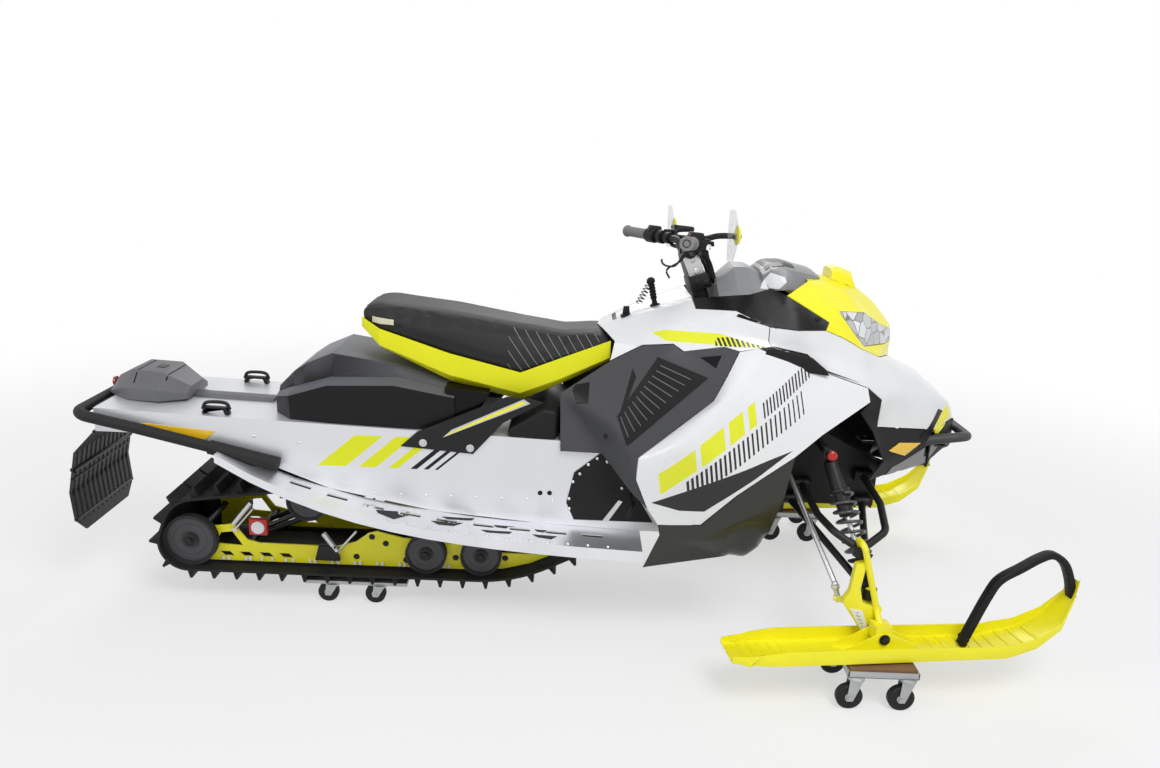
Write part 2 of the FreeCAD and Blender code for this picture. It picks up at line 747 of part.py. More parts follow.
def snow_flap():
    """Flexible flap behind the track, hung from the tunnel's rear end, with a stiff bar across it."""
    rear = tunnel_rear_x - fit_gap
    height = tunnel_top(tunnel_rear_x) - flap_low_z
    shares = [(0.0, 1.0), (0.0, 0.84), (0.72, 0.64), (0.96, 0.33), (0.86, 0.0)]
    line = [(rear - sx * flap_reach, flap_low_z + sz * height) for sx, sz in shares]
    outline = line + [(x - flap_thickness, z) for x, z in reversed(line)]
    sheet = side_plate(outline, -flap_half_width, flap_half_width)
    corner = [(0, flap_low_z - cut_overrun), (flap_chamfer, flap_low_z - cut_overrun),
              (0, flap_low_z + flap_chamfer)]
    cuts = []
    for side in (-1, 1):
        points = [V(rear - 2 * flap_reach, side * (flap_half_width - y), z) for y, z in corner]
        points[0].y = side * (flap_half_width + cut_overrun)
        points[2].y = side * (flap_half_width + cut_overrun)
        cuts.append(polygon_face(points).extrude(V(2 * flap_reach, 0, 0)))
    foot, upper = line[3], line[2]
    head = (foot[0] + flap_bar_share * (upper[0] - foot[0]), foot[1] + flap_bar_share * (upper[1] - foot[1]))
    brace = [(foot[0] - flap_thickness, foot[1]), (head[0] - flap_thickness, head[1]),
             (head[0] - 2 * flap_thickness, head[1]), (foot[0] - 2 * flap_thickness, foot[1])]
    brace = side_plate(brace, -0.92 * flap_half_width, 0.92 * flap_half_width)
    return sheet.cut(Part.makeCompound(cuts)).fuse(brace)


def tail_cover():
    """Moulded cover over the tunnel's rear end, with a raised hump."""
    rear = tunnel_rear_x - 0.03 * tail_length
    top = tunnel_top(tunnel_rear_x)
    stations = []
    rows = [(0.0, 0.30, 0.10), (0.16, 0.62, 0.62), (0.34, 0.86, 0.86), (0.72, 0.95, 0.80), (1.0, 0.62, 0.34)]
    for along, wide, high in rows:
        x = rear + along * cover_length
        foot = max(top, tunnel_top(x)) + fit_gap
        half = cover_half_width * wide
        head = foot + cover_height * high
        edge = foot + cover_height * high * 0.45
        section = [V(x, -half, foot), V(x, -half, edge), V(x, -half * 0.6, head), V(x, half * 0.6, head),
                   V(x, half, edge), V(x, half, foot)]
        stations.append(section)
    return ruled_solid(stations)


def centre_strip():
    """Narrow moulded channel along the tunnel's top between the tail cover and the rear box."""
    rear = tunnel_rear_x - 0.03 * tail_length + cover_length + fit_gap
    front = tail_rear_x - 0.02 * tail_length
    sections = []
    for x in (rear, front):
        foot = tunnel_top(x) + fit_gap
        half = strip_half_width
        sections.append([V(x, -half, foot), V(x, -0.8 * half, foot + 0.8 * strip_height),
                         V(x, -0.4 * half, foot + strip_height), V(x, 0.4 * half, foot + strip_height),
                         V(x, 0.8 * half, foot + 0.8 * strip_height), V(x, half, foot)])
    return ruled_solid(sections)


def cargo_anchors():
    """Two loops on the tunnel that loads are strapped to."""
    front = tail_rear_x - anchor_clearance + anchor_length / 2
    rear = front - anchor_length
    leg = 0.16 * anchor_length
    roof = 0.32 * anchor_height
    rows = [(rear, 0), (rear + leg, 0), (rear + 1.4 * leg, anchor_height - roof),
            (front - 1.4 * leg, anchor_height - roof), (front - leg, 0), (front, 0),
            (front - 0.5 * leg, anchor_height), (rear + 0.5 * leg, anchor_height)]
    outline = [(x, tunnel_top(x) + fit_gap + up) for x, up in rows]
    return pair(side_plate(outline, anchor_y - anchor_width / 2, anchor_y + anchor_width / 2))


def rear_box_base():
    """Lower shell of the moulded box between the seat and the tunnel, lying on the deck."""
    rows = [
        (0.02, [0.60, (0.62, 0.20), (0.50, 0.22)]),
        (0.08, [0.92, (0.97, 0.26), (0.80, 0.30)]),
        (0.20, [0.98, (1.02, 0.36), (0.84, 0.40)]),
        (0.40, [0.98, (1.02, 0.38), (0.84, 0.42)]),
        (0.58, [0.96, (1.00, 0.30), (0.84, 0.34)]),
    ]
    stations = []
    for along, (foot_share, shoulder, top) in rows:
        deck = tunnel_top(tail_point((along, 0, 0)).x) + fit_gap
        stations.append((along, [(foot_share, (deck - tail_low_z) / tail_height), shoulder, top]))
    return tail_solid(stations)


def rear_box_lid():
    """Upper shell of the rear box, tucked under the seat's tail."""
    rest = fit_gap / tail_height
    return tail_solid([
        (0.020, [(0.46, 0.220 + rest), (0.40, 0.26)]),
        (0.080, [(0.72, 0.300 + rest), (0.62, 0.41)]),
        (0.120, [(0.76, 0.3333 + rest), (0.66, 0.48)]),
        (0.200, [(0.80, 0.400 + rest), (0.68, 0.57)]),
        (0.400, [(0.80, 0.420 + rest), (0.66, 0.50)]),
        (0.575, [(0.80, 0.3422 + rest), (0.62, 0.37)]),
    ])


def seat_seam():
    """Line where the cushion meets the skirt, as (share along, inner and outer shares)."""
    return [
        (0.290, (0.46, 0.835), (0.62, 0.857)),
        (0.350, (0.62, 0.755), (0.80, 0.790)),
        (0.560, (0.66, 0.558), (0.84, 0.628)),
        (0.775, (0.62, 0.418), (0.80, 0.496)),
        (0.900, (0.58, 0.558), (0.76, 0.621)),
        (1.045, (0.54, 0.718), (0.70, 0.761)),
    ]


def seat_cushion():
    """Closed cushion of the saddle, narrow in front and wide under the rider."""
    crown = [
        [(0.58, 0.925), (0.35, 0.935)], [(0.70, 0.925), (0.40, 0.945)], [(0.70, 0.855), (0.40, 0.895)],
        [(0.58, 0.780), (0.34, 0.815)], [(0.52, 0.750), (0.30, 0.775)], [(0.48, 0.790), (0.26, 0.800)],
    ]
    stations = []
    for (along, inner, outer), top in zip(seat_seam(), crown):
        stations.append((along, [inner, outer] + top))
    return tail_solid(stations)


def seat_skirt():
    """Plastic band round the foot of the cushion."""
    gap = fit_gap / tail_height
    stations = []
    for (along, inner, outer), depth in zip(seat_seam(), skirt_depth_shares):
        band = [(inner[0], inner[1] - depth), (outer[0], outer[1] - depth), (outer[0], outer[1] - gap),
                (inner[0], inner[1] - gap)]
        stations.append((along, band))
    return tail_solid(stations)


def seat_struts():
    """Side brackets that carry the seat, bolted to the tunnel, with the pan between them."""
    outer = tunnel_half_width + fit_gap
    shares = [(0.42, -0.09), (0.64, -0.13), (0.73, 0.13), (0.85, 0.30), (0.80, 0.33), (0.74, 0.335),
              (0.47, 0.03)]
    outline = [(tail_point((sx, 0, sz)).x, tail_point((sx, 0, sz)).z) for sx, sz in shares]
    sides = pair(side_plate(outline, outer, outer + 2 * sheet_thickness))
    along, inner, _ = seat_seam()[3]
    pan = tail_point((along, 0, inner[1] - skirt_depth_shares[3]))
    top = pan.z - fit_gap
    plate = box(V(pan.x - pan_half_length, -outer, top - 2 * sheet_thickness),
                V(pan.x + pan_half_length, outer, top))
    return joined([plate] + sides.Solids)


def fuel_tank():
    """Tank between the seat's front and the console, lying on the tunnel."""
    sections = []
    shares = [(0.745, 0.075, 1.0), (0.850, 0.245, 1.0), (0.890, 0.225, 0.98), (0.900, 0.215, 0.70),
              (1.040, 0.110, 0.70)]
    for along, high, wide in shares:
        x = tail_point((along, 0, 0)).x
        foot = tunnel_top(x) + fit_gap
        head = tail_point((along, 0, high)).z
        half = wide * tank_half_width
        sections.append([V(x, -half, foot), V(x, -half, head), V(x, half, head), V(x, half, foot)])
    return ruled_solid(sections)


def side_consoles():
    """Dark side mouldings that the rider's knees press on, from the seat to the cowl."""
    return cowl_pair("side_consoles")


def console_shroud():
    """Pale centre cover between the seat and the steering head."""
    return cowl_panel("console_shroud", True)


def upper_side_panels():
    """Dark faceted upper side panels beside the instruments."""
    return cowl_pair("upper_side_panels")


def instrument_cluster():
    """Dash cover ahead of the handlebar and the instrument housing in front of it, on the visor."""
    dash = body_solid([
        (0.560, [(0.37, dash_foot), (0.35, 0.850), (0.12, 0.886)]),
        (0.612, [(0.43, dash_foot), (0.41, 0.862), (0.15, 0.932)]),
        (0.656, [(0.45, dash_foot), (0.43, 0.870), (0.15, 0.932)]),
        (0.704, [(0.42, dash_foot), (0.40, 0.880), (0.14, 0.910)]),
    ])
    housing = body_solid([
        (0.690, [(0.28, 0.870), (0.26, 0.914), (0.14, 0.926)]),
        (0.715, [(0.32, 0.874), (0.27, 0.934), (0.11, 0.946)]),
        (0.760, [(0.33, 0.878), (0.27, 0.937), (0.11, 0.949)]),
        (0.850, [(0.27, 0.878), (0.22, 0.920), (0.09, 0.931)]),
        (0.898, [(0.16, 0.878), (0.14, 0.892), (0.06, 0.898)]),
    ])
    return joined([dash, housing]).cut(headlight_pod())


def headlight_pod():
    """Bright visor round the two headlamps."""
    return cowl_panel("headlight_pod", True)


def windshield():
    """Low windshield cap standing on the visor."""
    cap = body_solid([
        (0.912, [(0.14, 0.866), (0.13, 0.928), (0.06, 0.936)]),
        (0.932, [(0.15, 0.862), (0.13, 0.930), (0.06, 0.942)]),
        (0.978, [(0.13, 0.850), (0.11, 0.910), (0.05, 0.926)]),
        (0.998, [(0.10, 0.842), (0.08, 0.874), (0.04, 0.884)]),
    ])
    pieces_left = cap.cut(headlight_pod()).Solids
    return max(pieces_left, key=lambda solid: solid.BoundBox.ZMax)


def headlight_lenses():
    """Clear lenses of the two headlamps."""
    return cowl_pair("headlight_lenses")


def hood():
    """Bonnet from the visor down to the nose."""
    return cowl_panel("hood", True)


def side_panels():
    """Large pale side panels over the engine, with a raised shoulder."""
    return cowl_pair("side_panels")


def belly_panels():
    """Dark lower side panels and the pan that closes the bay below, as one moulding."""
    return cowl_panel("belly_panels", True)


def nose_fascia():
    """Dark nose under the bonnet, with the front bumper's legs passing through it."""
    return cowl_panel("nose_fascia", True).cut(front_bumper())


def front_bumper():
    """Tube hoop round the nose, its legs seated on the bulkhead's face."""
    start = V(bulkhead_front_x + fit_gap, -bumper_foot_y, bulkhead_front_z - 1.2 * bumper_tube_radius)
    right = [start, start + V(2 * bumper_bend, 0, 0)]
    right += [body_point(p) for p in ((1.225, -0.375, 0.430), (1.350, -0.420, 0.455), (1.392, -0.200, 0.430))]
    left = [V(p.x, -p.y, p.z) for p in reversed(right)]
    return tube(right + left, bumper_hoop_radius, bumper_bend)


def engine_block():
    """Plain block between the drive axle and the front bulkhead, as high as the body allows."""
    low, high = (body_low_z + share * body_height for share in engine_height_shares)
    return box(V(sprocket_x + engine_track_gap, -engine_width / 2, low),
               V(bulkhead_rear_x - engine_bulkhead_gap, engine_width / 2, high))


def front_subframe():
    """Bulkhead between the front arms, with shock towers, arm ears and the engine's cradle."""
    core_outline = [(bulkhead_rear_x, bulkhead_low_z), (bulkhead_front_x, bulkhead_low_z),
                    (bulkhead_front_x, bulkhead_front_z),
                    (shock_top_x + shock_eye_radius, bulkhead_high_z), (bulkhead_rear_x, bulkhead_high_z)]
    shapes = [side_plate(core_outline, -bulkhead_half_width, bulkhead_half_width)]
    shapes.append(across(post_radius, shock_top_y + shock_eye_width, shock_top_x, shock_top_z))
    for x, z in arm_roots():
        for end in (-1, 1):
            near = x + end * (arm_sleeve_length / 2 + fit_gap)
            far = near + end * ear_sheet
            for side in (-1, 1):
                root, lip = bulkhead_half_width - ear_sheet, arm_pivot_y + arm_sleeve_radius
                y_from, y_to = sorted((side * root, side * lip))
                shapes.append(box(V(min(near, far), y_from, z - arm_sleeve_radius),
                                  V(max(near, far), y_to, z + arm_sleeve_radius)))
    engine = engine_block().BoundBox
    rail_in = tunnel_half_width + fit_gap
    rail_out = rail_in + 2 * sheet_thickness
    rail_rear = tunnel_front_x - cradle_overlap
    rail_low = bulkhead_low_z + cradle_rise
    for side in (-1, 1):
        y_from, y_to = sorted((side * rail_in, side * rail_out))
        shapes.append(box(V(rail_rear, y_from, rail_low), V(bulkhead_rear_x, y_to, rail_low + cradle_depth)))
        for x in (engine.XMin + cradle_inset, engine.XMax - cradle_inset):
            shapes.append(box(V(x - cradle_width / 2, y_from, engine.ZMin - cradle_bar),
                              V(x + cradle_width / 2, y_to, rail_low + cradle_depth)))
    for x in (engine.XMin + cradle_inset, engine.XMax - cradle_inset):
        shapes.append(box(V(x - cradle_width / 2, -rail_out, engine.ZMin - cradle_bar),
                          V(x + cradle_width / 2, rail_out, engine.ZMin - fit_gap)))
    shapes.append(box(V(bulkhead_rear_x - 2 * sheet_thickness, -rail_out, rail_low),
                      V(bulkhead_rear_x, rail_out, rail_low + cradle_depth)))
    return joined(shapes)


def arm_ends():
    """Ball joint centres of the right front leg, lower and upper."""
    lower = V(lower_joint_x, -kingpin_y, lower_joint_z)
    upper = V(upper_joint_x, -kingpin_y, upper_joint_z)
    return lower, upper


def a_arm(legs, tip):
    """Two tubes that meet at a ball housing, each with a sleeve at its inner pivot."""
    wall = ball_radius + ball_seat_gap + ball_housing_wall
    shapes = [cylinder(wall, 2 * ball_radius, tip - V(0, 0, ball_radius), V(0, 0, 1))]
    for leg in legs:
        shapes.append(tube(leg + [tip], arm_radius, 4 * arm_radius))
        rear_end = leg[0] - V(arm_sleeve_length / 2, 0, 0)
        shapes.append(cylinder(arm_sleeve_radius, arm_sleeve_length, rear_end, V(1, 0, 0)))
    arm = joined(shapes)
    seat_radius = ball_radius + ball_seat_gap
    return arm.cut(cylinder(seat_radius, 4 * ball_radius, tip - V(0, 0, 2 * ball_radius), V(0, 0, 1)))


def upper_arms():
    """Upper arms, bowed out on both sides of the shock."""
    _, tip = arm_ends()
    span = kingpin_y - arm_pivot_y
    front = V(upper_front_root_x, -arm_pivot_y, upper_front_root_z)
    rear = V(upper_rear_root_x, -arm_pivot_y, upper_rear_root_z)
    front_leg = [front, V(front.x + 0.02 * span, -arm_pivot_y - 0.50 * span, front.z - 0.08 * span),
                 V(front.x - 0.02 * span, -arm_pivot_y - 0.83 * span, front.z - 0.20 * span)]
    rear_leg = [rear, V(rear.x + 0.02 * span, -arm_pivot_y - 0.58 * span, rear.z - 0.07 * span),
                V(rear.x + 0.09 * span, -arm_pivot_y - 0.86 * span, rear.z - 0.10 * span)]
    return pair(a_arm([front_leg, rear_leg], tip))


def lower_arms():
    """Lower arms, from the foot of the bulkhead down to the spindles, with a fork for each shock."""
    tip, _ = arm_ends()
    _, eye = shock_line()
    front = V(lower_front_root_x, -arm_pivot_y, lower_root_z)
    rear = V(lower_rear_root_x, -arm_pivot_y, lower_root_z)
    arm = a_arm([[front], [rear]], tip)
    share = (eye.y - front.y) / (tip.y - front.y)
    leg_z = lower_root_z + share * (tip.z - lower_root_z)
    half = shock_eye_width / 2 + fit_gap
    low_x = [root.x + share * (tip.x - root.x) for root in (rear, front)]
    ear_top = eye.z + 0.3 * shock_eye_radius
    outline = [(low_x[0], leg_z), (low_x[1], leg_z), (eye.x + shock_eye_radius, ear_top),
               (eye.x - shock_eye_radius, ear_top)]
    shapes = [arm]
    for side in (-1, 1):
        near, far = sorted((eye.y + side * half, eye.y + side * (half + sheet_thickness)))
        shapes.append(side_plate(outline, near, far))
    pin_half = half + sheet_thickness
    shapes.append(cylinder(shock_pin_radius, 2 * pin_half, eye - V(0, pin_half, 0), V(0, 1, 0)))
    return pair(joined(shapes))


def shock_line():
    """Top and bottom eye centres of the right front shock."""
    top = V(shock_top_x, -shock_top_y, shock_top_z)
    bottom = V(shock_foot_x, -shock_foot_y, shock_foot_z)
    return top, bottom


def spring(start, end, radius, wire, turns):
    """Coil spring as a helix swept between two points."""
    way = end - start
    length = way.Length
    helix = Part.makeHelix(length / turns, length, radius)
    ring = Part.Wire([Part.makeCircle(wire, V(radius, 0, 0), V(0, 1, 0))])
    coil = Part.Wire(helix.Edges).makePipeShell([ring], True, True)
    coil.Placement = FreeCAD.Placement(start, FreeCAD.Rotation(V(0, 0, 1), way))
    return coil


def front_shocks():
    """Coil-over shocks between the towers and the lower arms."""
    top, bottom = shock_line()
    way = (bottom - top).normalize()
    length = (bottom - top).Length
    eye_half = shock_eye_width / 2
    shapes = []
    for eye in (top, bottom):
        shapes.append(cylinder(shock_eye_radius, shock_eye_width, eye - V(0, eye_half, 0), V(0, 1, 0)))
    collar = spring_radius + spring_wire
    upper_seat, lower_seat = top + way * 0.33 * length, bottom - way * 0.19 * length
    shapes.append(bar(shock_body_radius, top + way * 0.10 * length, top + way * 0.50 * length))
    shapes.append(bar(shock_rod_radius, top, bottom - way * shock_rod_radius))
    shapes.append(bar(collar, top + way * 0.30 * length, upper_seat))
    shapes.append(bar(collar, bottom - way * 0.16 * length, lower_seat))
    body = joined(shapes)
    beside = V(0, 2 * shock_eye_width, 0)
    body = body.cut(bar(post_radius + running_gap, top - beside, top + beside))
    body = body.cut(bar(shock_pin_radius + running_gap, bottom - beside, bottom + beside))
    clear = way * (spring_wire + fit_gap)
    coil = spring(upper_seat + clear, lower_seat - clear, spring_radius, spring_wire, spring_turns)
    return Part.makeCompound([body, mirrored(body), coil, mirrored(coil)])


def tie_rods():
    """Steering rods with ball ends, held to the bulkhead and open at the spindle arms."""
    ball = 1.2 * tie_rod_radius
    rods = []
    for side in (-1, 1):
        foot, king = king_line(side)
        turn = FreeCAD.Rotation(king, ski_turn_ratio * bar_turn)
        outer = foot + turn.multVec(steering_arm_ball(side) - foot)
        inner = V(tie_rod_root_x, side * (bulkhead_half_width + ball + fit_gap), tie_rod_root_z)
        rods.append(joined([bar(tie_rod_radius, inner, outer), Part.makeSphere(ball, inner),
                            Part.makeSphere(ball, outer)]))
    return Part.makeCompound(rods)


def spindle():
    """Right steering knuckle from the upper ball joint to the ski pivot, with its steering arm."""
    lower, upper = arm_ends()
    king = (upper - lower).normalize()
    foot = V(ski_pivot_x, -ski_y, ski_pivot_z)
    shapes = [Part.makeSphere(ball_radius, lower), Part.makeSphere(ball_radius, upper)]
    off = V(0, -2.6 * ball_radius, 0)
    knee = lower - king * 2.0 * ball_radius
    shapes.append(bar(0.5 * ball_radius, upper + king * 0.2 * ball_radius, upper + king * 2.4 * ball_radius))
    shapes.append(tube([upper + king * 2.2 * ball_radius, upper + king * 2.2 * ball_radius + off,
                        knee + off, foot + V(0, 0, 1.5 * ball_radius)], 0.6 * ball_radius, 2 * ball_radius))
    shapes.append(bar(0.5 * ball_radius, lower, knee))
    shapes.append(bar(0.6 * ball_radius, knee, knee + off))
    end = steering_arm_ball(-1)
    end.z = knee.z
    shapes.append(bar(0.5 * ball_radius, knee, end))
    shapes.append(box(foot - V(1.6 * ball_radius, saddle_half_width - fit_gap, 0.4 * ball_radius),
                      foot + V(1.6 * ball_radius, saddle_half_width - fit_gap, 2.4 * ball_radius)))
    return joined(shapes)


def ski_line():
    """Lower side line of a ski as (x, z): upturned tail, flat run and raised tip."""
    length = ski_front_x - ski_rear_x
    shares = [(0.0, 0.30), (0.06, 0.15), (0.18, 0.03), (0.34, 0.0), (0.77, 0.0), (0.86, 0.12), (0.93, 0.36),
              (0.985, 0.72), (1.0, 1.0)]
    return [(ski_rear_x + sx * length, ski_bottom_z + sz * ski_tip_rise) for sx, sz in shares]


def ski():
    """Right ski: a trough with side walls, a keel underneath and a saddle for the spindle."""
    line = ski_line()
    length = ski_front_x - ski_rear_x
    outline = line + [(x, z + ski_wall) for x, z in reversed(line)]
    walls = []
    for x, z in line:
        share = (x - ski_rear_x) / length
        depth = ski_depth * (1.0 - 0.72 * share ** 6) * (0.45 + min(share / 0.18, 1) * 0.55)
        walls.append((x, z + depth))
    wall_outline = line + list(reversed(walls))
    plan = []
    for share, half in ((0, 0.80), (0.12, 1.0), (0.80, 1.0), (0.93, 0.82), (1.0, 0.45)):
        plan.append((ski_rear_x + share * length, half * ski_half_width))
    low, high = 0, body_low_z + body_height
    outer_plan = [(x, -ski_y - y) for x, y in plan] + [(x, -ski_y + y) for x, y in reversed(plan)]
    inner_plan = [(x, -ski_y - y + ski_wall) for x, y in plan]
    inner_plan += [(x, -ski_y + y - ski_wall) for x, y in reversed(plan)]
    sole = side_plate(outline, -ski_y - ski_half_width, -ski_y + ski_half_width)
    sole = sole.common(plan_plate(outer_plan, low, high))
    wall = side_plate(wall_outline, -ski_y - ski_half_width, -ski_y + ski_half_width)
    wall = wall.common(plan_plate(outer_plan, low, high)).cut(plan_plate(inner_plan, low, high))
    keel = [(x, z - keel_depth) for x, z in line[1:6]] + [(x, z + ski_wall) for x, z in reversed(line[1:6])]
    keel = side_plate(keel, -ski_y - keel_width / 2, -ski_y + keel_width / 2)
    saddle = []
    foot_z, peak_z = ski_bottom_z + ski_wall / 2, ski_pivot_z + 2 * ski_pivot_radius
    cheek = [(ski_pivot_x - 0.13 * length, foot_z), (ski_pivot_x + 0.13 * length, foot_z),
             (ski_pivot_x + 3 * ski_pivot_radius, peak_z), (ski_pivot_x - 3 * ski_pivot_radius, peak_z)]
    for side in (-1, 1):
        y = -ski_y + side * (saddle_half_width + ski_wall / 2)
        saddle.append(side_plate(cheek, y - ski_wall / 2, y + ski_wall / 2))
    return joined([sole, wall, keel] + saddle)


def ski_loop():
    """Handle bent over the right ski's tip, both its ends standing on the ski."""
    length = ski_front_x - ski_rear_x
    shares = [(0.680, 0.01), (0.757, 1.06), (0.893, 1.50), (0.955, 1.24), (0.983, 0.70)]
    points = [V(ski_rear_x + sx * length, -ski_y, ski_bottom_z + sz * ski_tip_rise) for sx, sz in shares]
    trimmed = tube(points, loop_radius, 5 * loop_radius).cut(ski())
    return max(trimmed.Solids, key=lambda solid: solid.Volume)


def caster(x, y, plate_z, radius):
    """One caster: a swivel plate, a two-cheek fork and a wheel, as one solid."""
    wheel_x = x - caster_trail
    wheel = cylinder(radius, caster_wheel_width, V(wheel_x, y - caster_wheel_width / 2, radius), V(0, 1, 0))
    cheeks = []
    for flank in (-1, 1):
        inner = y + flank * (caster_wheel_width / 2)
        outer = inner + flank * caster_fork_sheet
        outline = [(wheel_x - 0.3 * radius, 0.8 * radius), (wheel_x + 0.3 * radius, 0.8 * radius),
                   (x + 0.6 * radius, plate_z), (x - 0.6 * radius, plate_z)]
        cheeks.append(side_plate(outline, inner, outer))
    return [wheel] + cheeks


def ski_dolly(side):
    """Carrier under a ski: a framed plate on four casters, level under the turned ski's keel."""
    x, y = ski_pivot_x, side * ski_y
    underside = ski_bottom_z - keel_depth - dolly_plate
    low = V(x - dolly_length / 2, y - dolly_width / 2, underside)
    room = box(low, V(x + dolly_length / 2, y + dolly_width / 2, ski_bottom_z + ski_depth))
    upright = ski() if side < 0 else mirrored(ski())
    keel_z = steered_ski(upright, side).common(room).BoundBox.ZMin
    shapes = [box(low, V(x + dolly_length / 2, y + dolly_width / 2, keel_z - fit_gap))]
    for sx in (-1, 1):
        for sy in (-1, 1):
            caster_x = x + sx * (dolly_length / 2 - caster_inset)
            caster_y = y + sy * (dolly_width / 2 - caster_inset / 2)
            shapes += caster(caster_x, caster_y, underside, dolly_caster_radius)
    return joined(shapes)


def track_dolly():
    """Low carrier under the track: a plate on four casters."""
    top = lug_tip_z
    plate = box(V(low_dolly_x - low_dolly_length / 2, -low_dolly_width / 2, top - low_dolly_plate),
                V(low_dolly_x + low_dolly_length / 2, low_dolly_width / 2, top))
    shapes = [plate]
    for sx in (-1, 1):
        for sy in (-1, 1):
            x = low_dolly_x + sx * (low_dolly_length / 2 - caster_inset) * 0.55
            y = sy * (low_dolly_width / 2 - caster_inset / 2)
            shapes += caster(x, y, top - low_dolly_plate, low_caster_radius)
    return joined(shapes)


def head_frame():
    """Point and unit direction of the steering axis, up along the post."""
    lean = math.radians(head_rake)
    return V(head_x, 0, head_z), V(-math.sin(lean), 0, math.cos(lean))


def steering_column():
    """Bearing collar that carries the steering post, on tubes from the tunnel and the bulkhead."""
    head, up = head_frame()
    low_end = head - up * post_collar_length
    shapes = [cylinder(post_collar_radius, post_collar_length, low_end, up)]
    rear_foot_z = tunnel_top(tunnel_front_x - 4 * strut_radius) + fit_gap
    rear_foot = V(tunnel_front_x - 2 * strut_radius, 0, rear_foot_z)
    front_foot = V(bulkhead_rear_x + strut_stand, 0, bulkhead_high_z + fit_gap)
    meeting = head - up * 0.5 * post_collar_length
    for foot in (rear_foot, front_foot):
        for side in (-1, 1):
            base = foot + V(0, side * strut_spread, 0)
            pad = box(base - V(2 * strut_radius, 1.5 * strut_radius, 0),
                      base + V(2 * strut_radius, 1.5 * strut_radius, sheet_thickness))
            shapes += [pad, bar(strut_radius, base, meeting)]
    rest = body_point((0, 0, dash_foot)).z - fit_gap
    shapes.append(box(V(head.x, -2 * strut_radius, rest - 2 * sheet_thickness),
                      V(head.x + dash_rest_length, 2 * strut_radius, rest)))
    carrier = across(strut_radius, carrier_half, meeting.x, meeting.z)
    ends = carrier.cut(console_shroud()).cut(upper_side_panels())
    shapes += [solid for solid in ends.Solids if solid.isInside(meeting, 1e-6, True)]
    frame = joined(shapes)
    for foot in (rear_foot, front_foot):
        reach = V(4 * strut_radius, 2 * strut_spread, 0)
        frame = frame.cut(box(foot - reach - V(0, 0, 4 * strut_radius), foot + reach))
    bore_start = head - up * 2 * post_collar_length
    return frame.cut(cylinder(post_radius + running_gap, 3 * post_collar_length, bore_start, up))


def handlebar():
    """Steering post, riser block and the swept bar, open at its ends."""
    head, up = head_frame()
    post = cylinder(post_radius, post_collar_length, head - up * post_collar_length, up)
    flange = cylinder(post_collar_radius, riser_width / 6, head + up * fit_gap, up)
    riser = box(V(-riser_depth / 2, -riser_width / 2, riser_width / 12),
                V(riser_depth / 2, riser_width / 2, riser_height))
    riser.Placement = FreeCAD.Placement(head, FreeCAD.Rotation(V(0, 0, 1), up))
    centre = head + up * riser_height
    right = [centre + V(-bar_sweep, -bar_half_span, bar_rise),
             centre + V(0, -bar_centre_width / 2 - bar_bend, 0.7 * bar_rise),
             centre + V(0, -bar_centre_width / 2, 0)]
    left = [V(p.x, -p.y, p.z) for p in reversed(right)]
    tubing = tube(right + left, bar_radius, bar_bend)
    neck = cylinder(post_radius, riser_width / 6, head, up)
    return joined([post, neck, flange, riser, tubing]).cut(bar_ends())


def bar_end_line():
    """Outer end of the right grip and the way along it to the middle."""
    head, up = head_frame()
    centre = head + up * riser_height
    end = centre + V(-bar_sweep, -bar_half_span, bar_rise)
    inner = centre + V(0, -bar_centre_width / 2 - bar_bend, 0.7 * bar_rise)
    return end, (inner - end).normalize()


def grips():
    """Rubber grips on the bar's ends, open like the bar."""
    end, way = bar_end_line()
    grip = bar(grip_radius, end, end + way * grip_length)
    grip = grip.cut(bar(bar_radius, end - way * grip_length, end + way * 2 * grip_length))
    return pair(grip)


def bar_controls():
    """Throttle and brake housings with their levers."""
    end, way = bar_end_line()
    start = end + way * (grip_length + fit_gap)
    body = bar(1.5 * grip_radius, start, start + way * 2.6 * grip_radius)
    root = start + way * grip_radius + V(1.2 * grip_radius, 0, 0)
    elbow = root + V(1.4 * grip_radius, 0, 0)
    lever = tube([root, elbow, elbow - way * lever_length], 0.3 * grip_radius, grip_radius)
    room = bar(bar_radius + running_gap, start - way * grip_length, start + way * 2 * grip_length)
    return pair(body.fuse(lever).cut(room))


def hand_guards():
    """Curved guards ahead of the grips, on a stalk."""
    end, way = bar_end_line()
    centre = end + way * 0.4 * grip_length + V(guard_reach, 0, 0)
    edge_z = guard_height / 2
    outline = [(0, -edge_z), (1.35 * guard_thickness, 0), (0, edge_z), (guard_thickness, edge_z),
               (2.4 * guard_thickness, 0), (guard_thickness, -edge_z)]
    shield = side_plate(outline, -guard_width / 2, guard_width / 2)
    shield.translate(centre)
    clamp_point = end + way * (grip_length + 4.4 * grip_radius)
    stalk_path = [clamp_point + V(bar_radius + 0.5 * grip_radius, 0, 0),
                  clamp_point + V(guard_reach + 4 * guard_thickness, 0, 0),
                  centre + V(4 * guard_thickness, -guard_width / 4, 0)]
    stalk = tube(stalk_path, 0.4 * grip_radius, guard_reach / 3)
    half_clamp = way * 0.5 * grip_radius
    clamp = bar(1.4 * grip_radius, clamp_point - half_clamp, clamp_point + half_clamp)
    room = bar(bar_radius + running_gap, clamp_point - way * grip_length, clamp_point + way * grip_length)
    return pair(joined([shield, stalk, clamp]).cut(room))


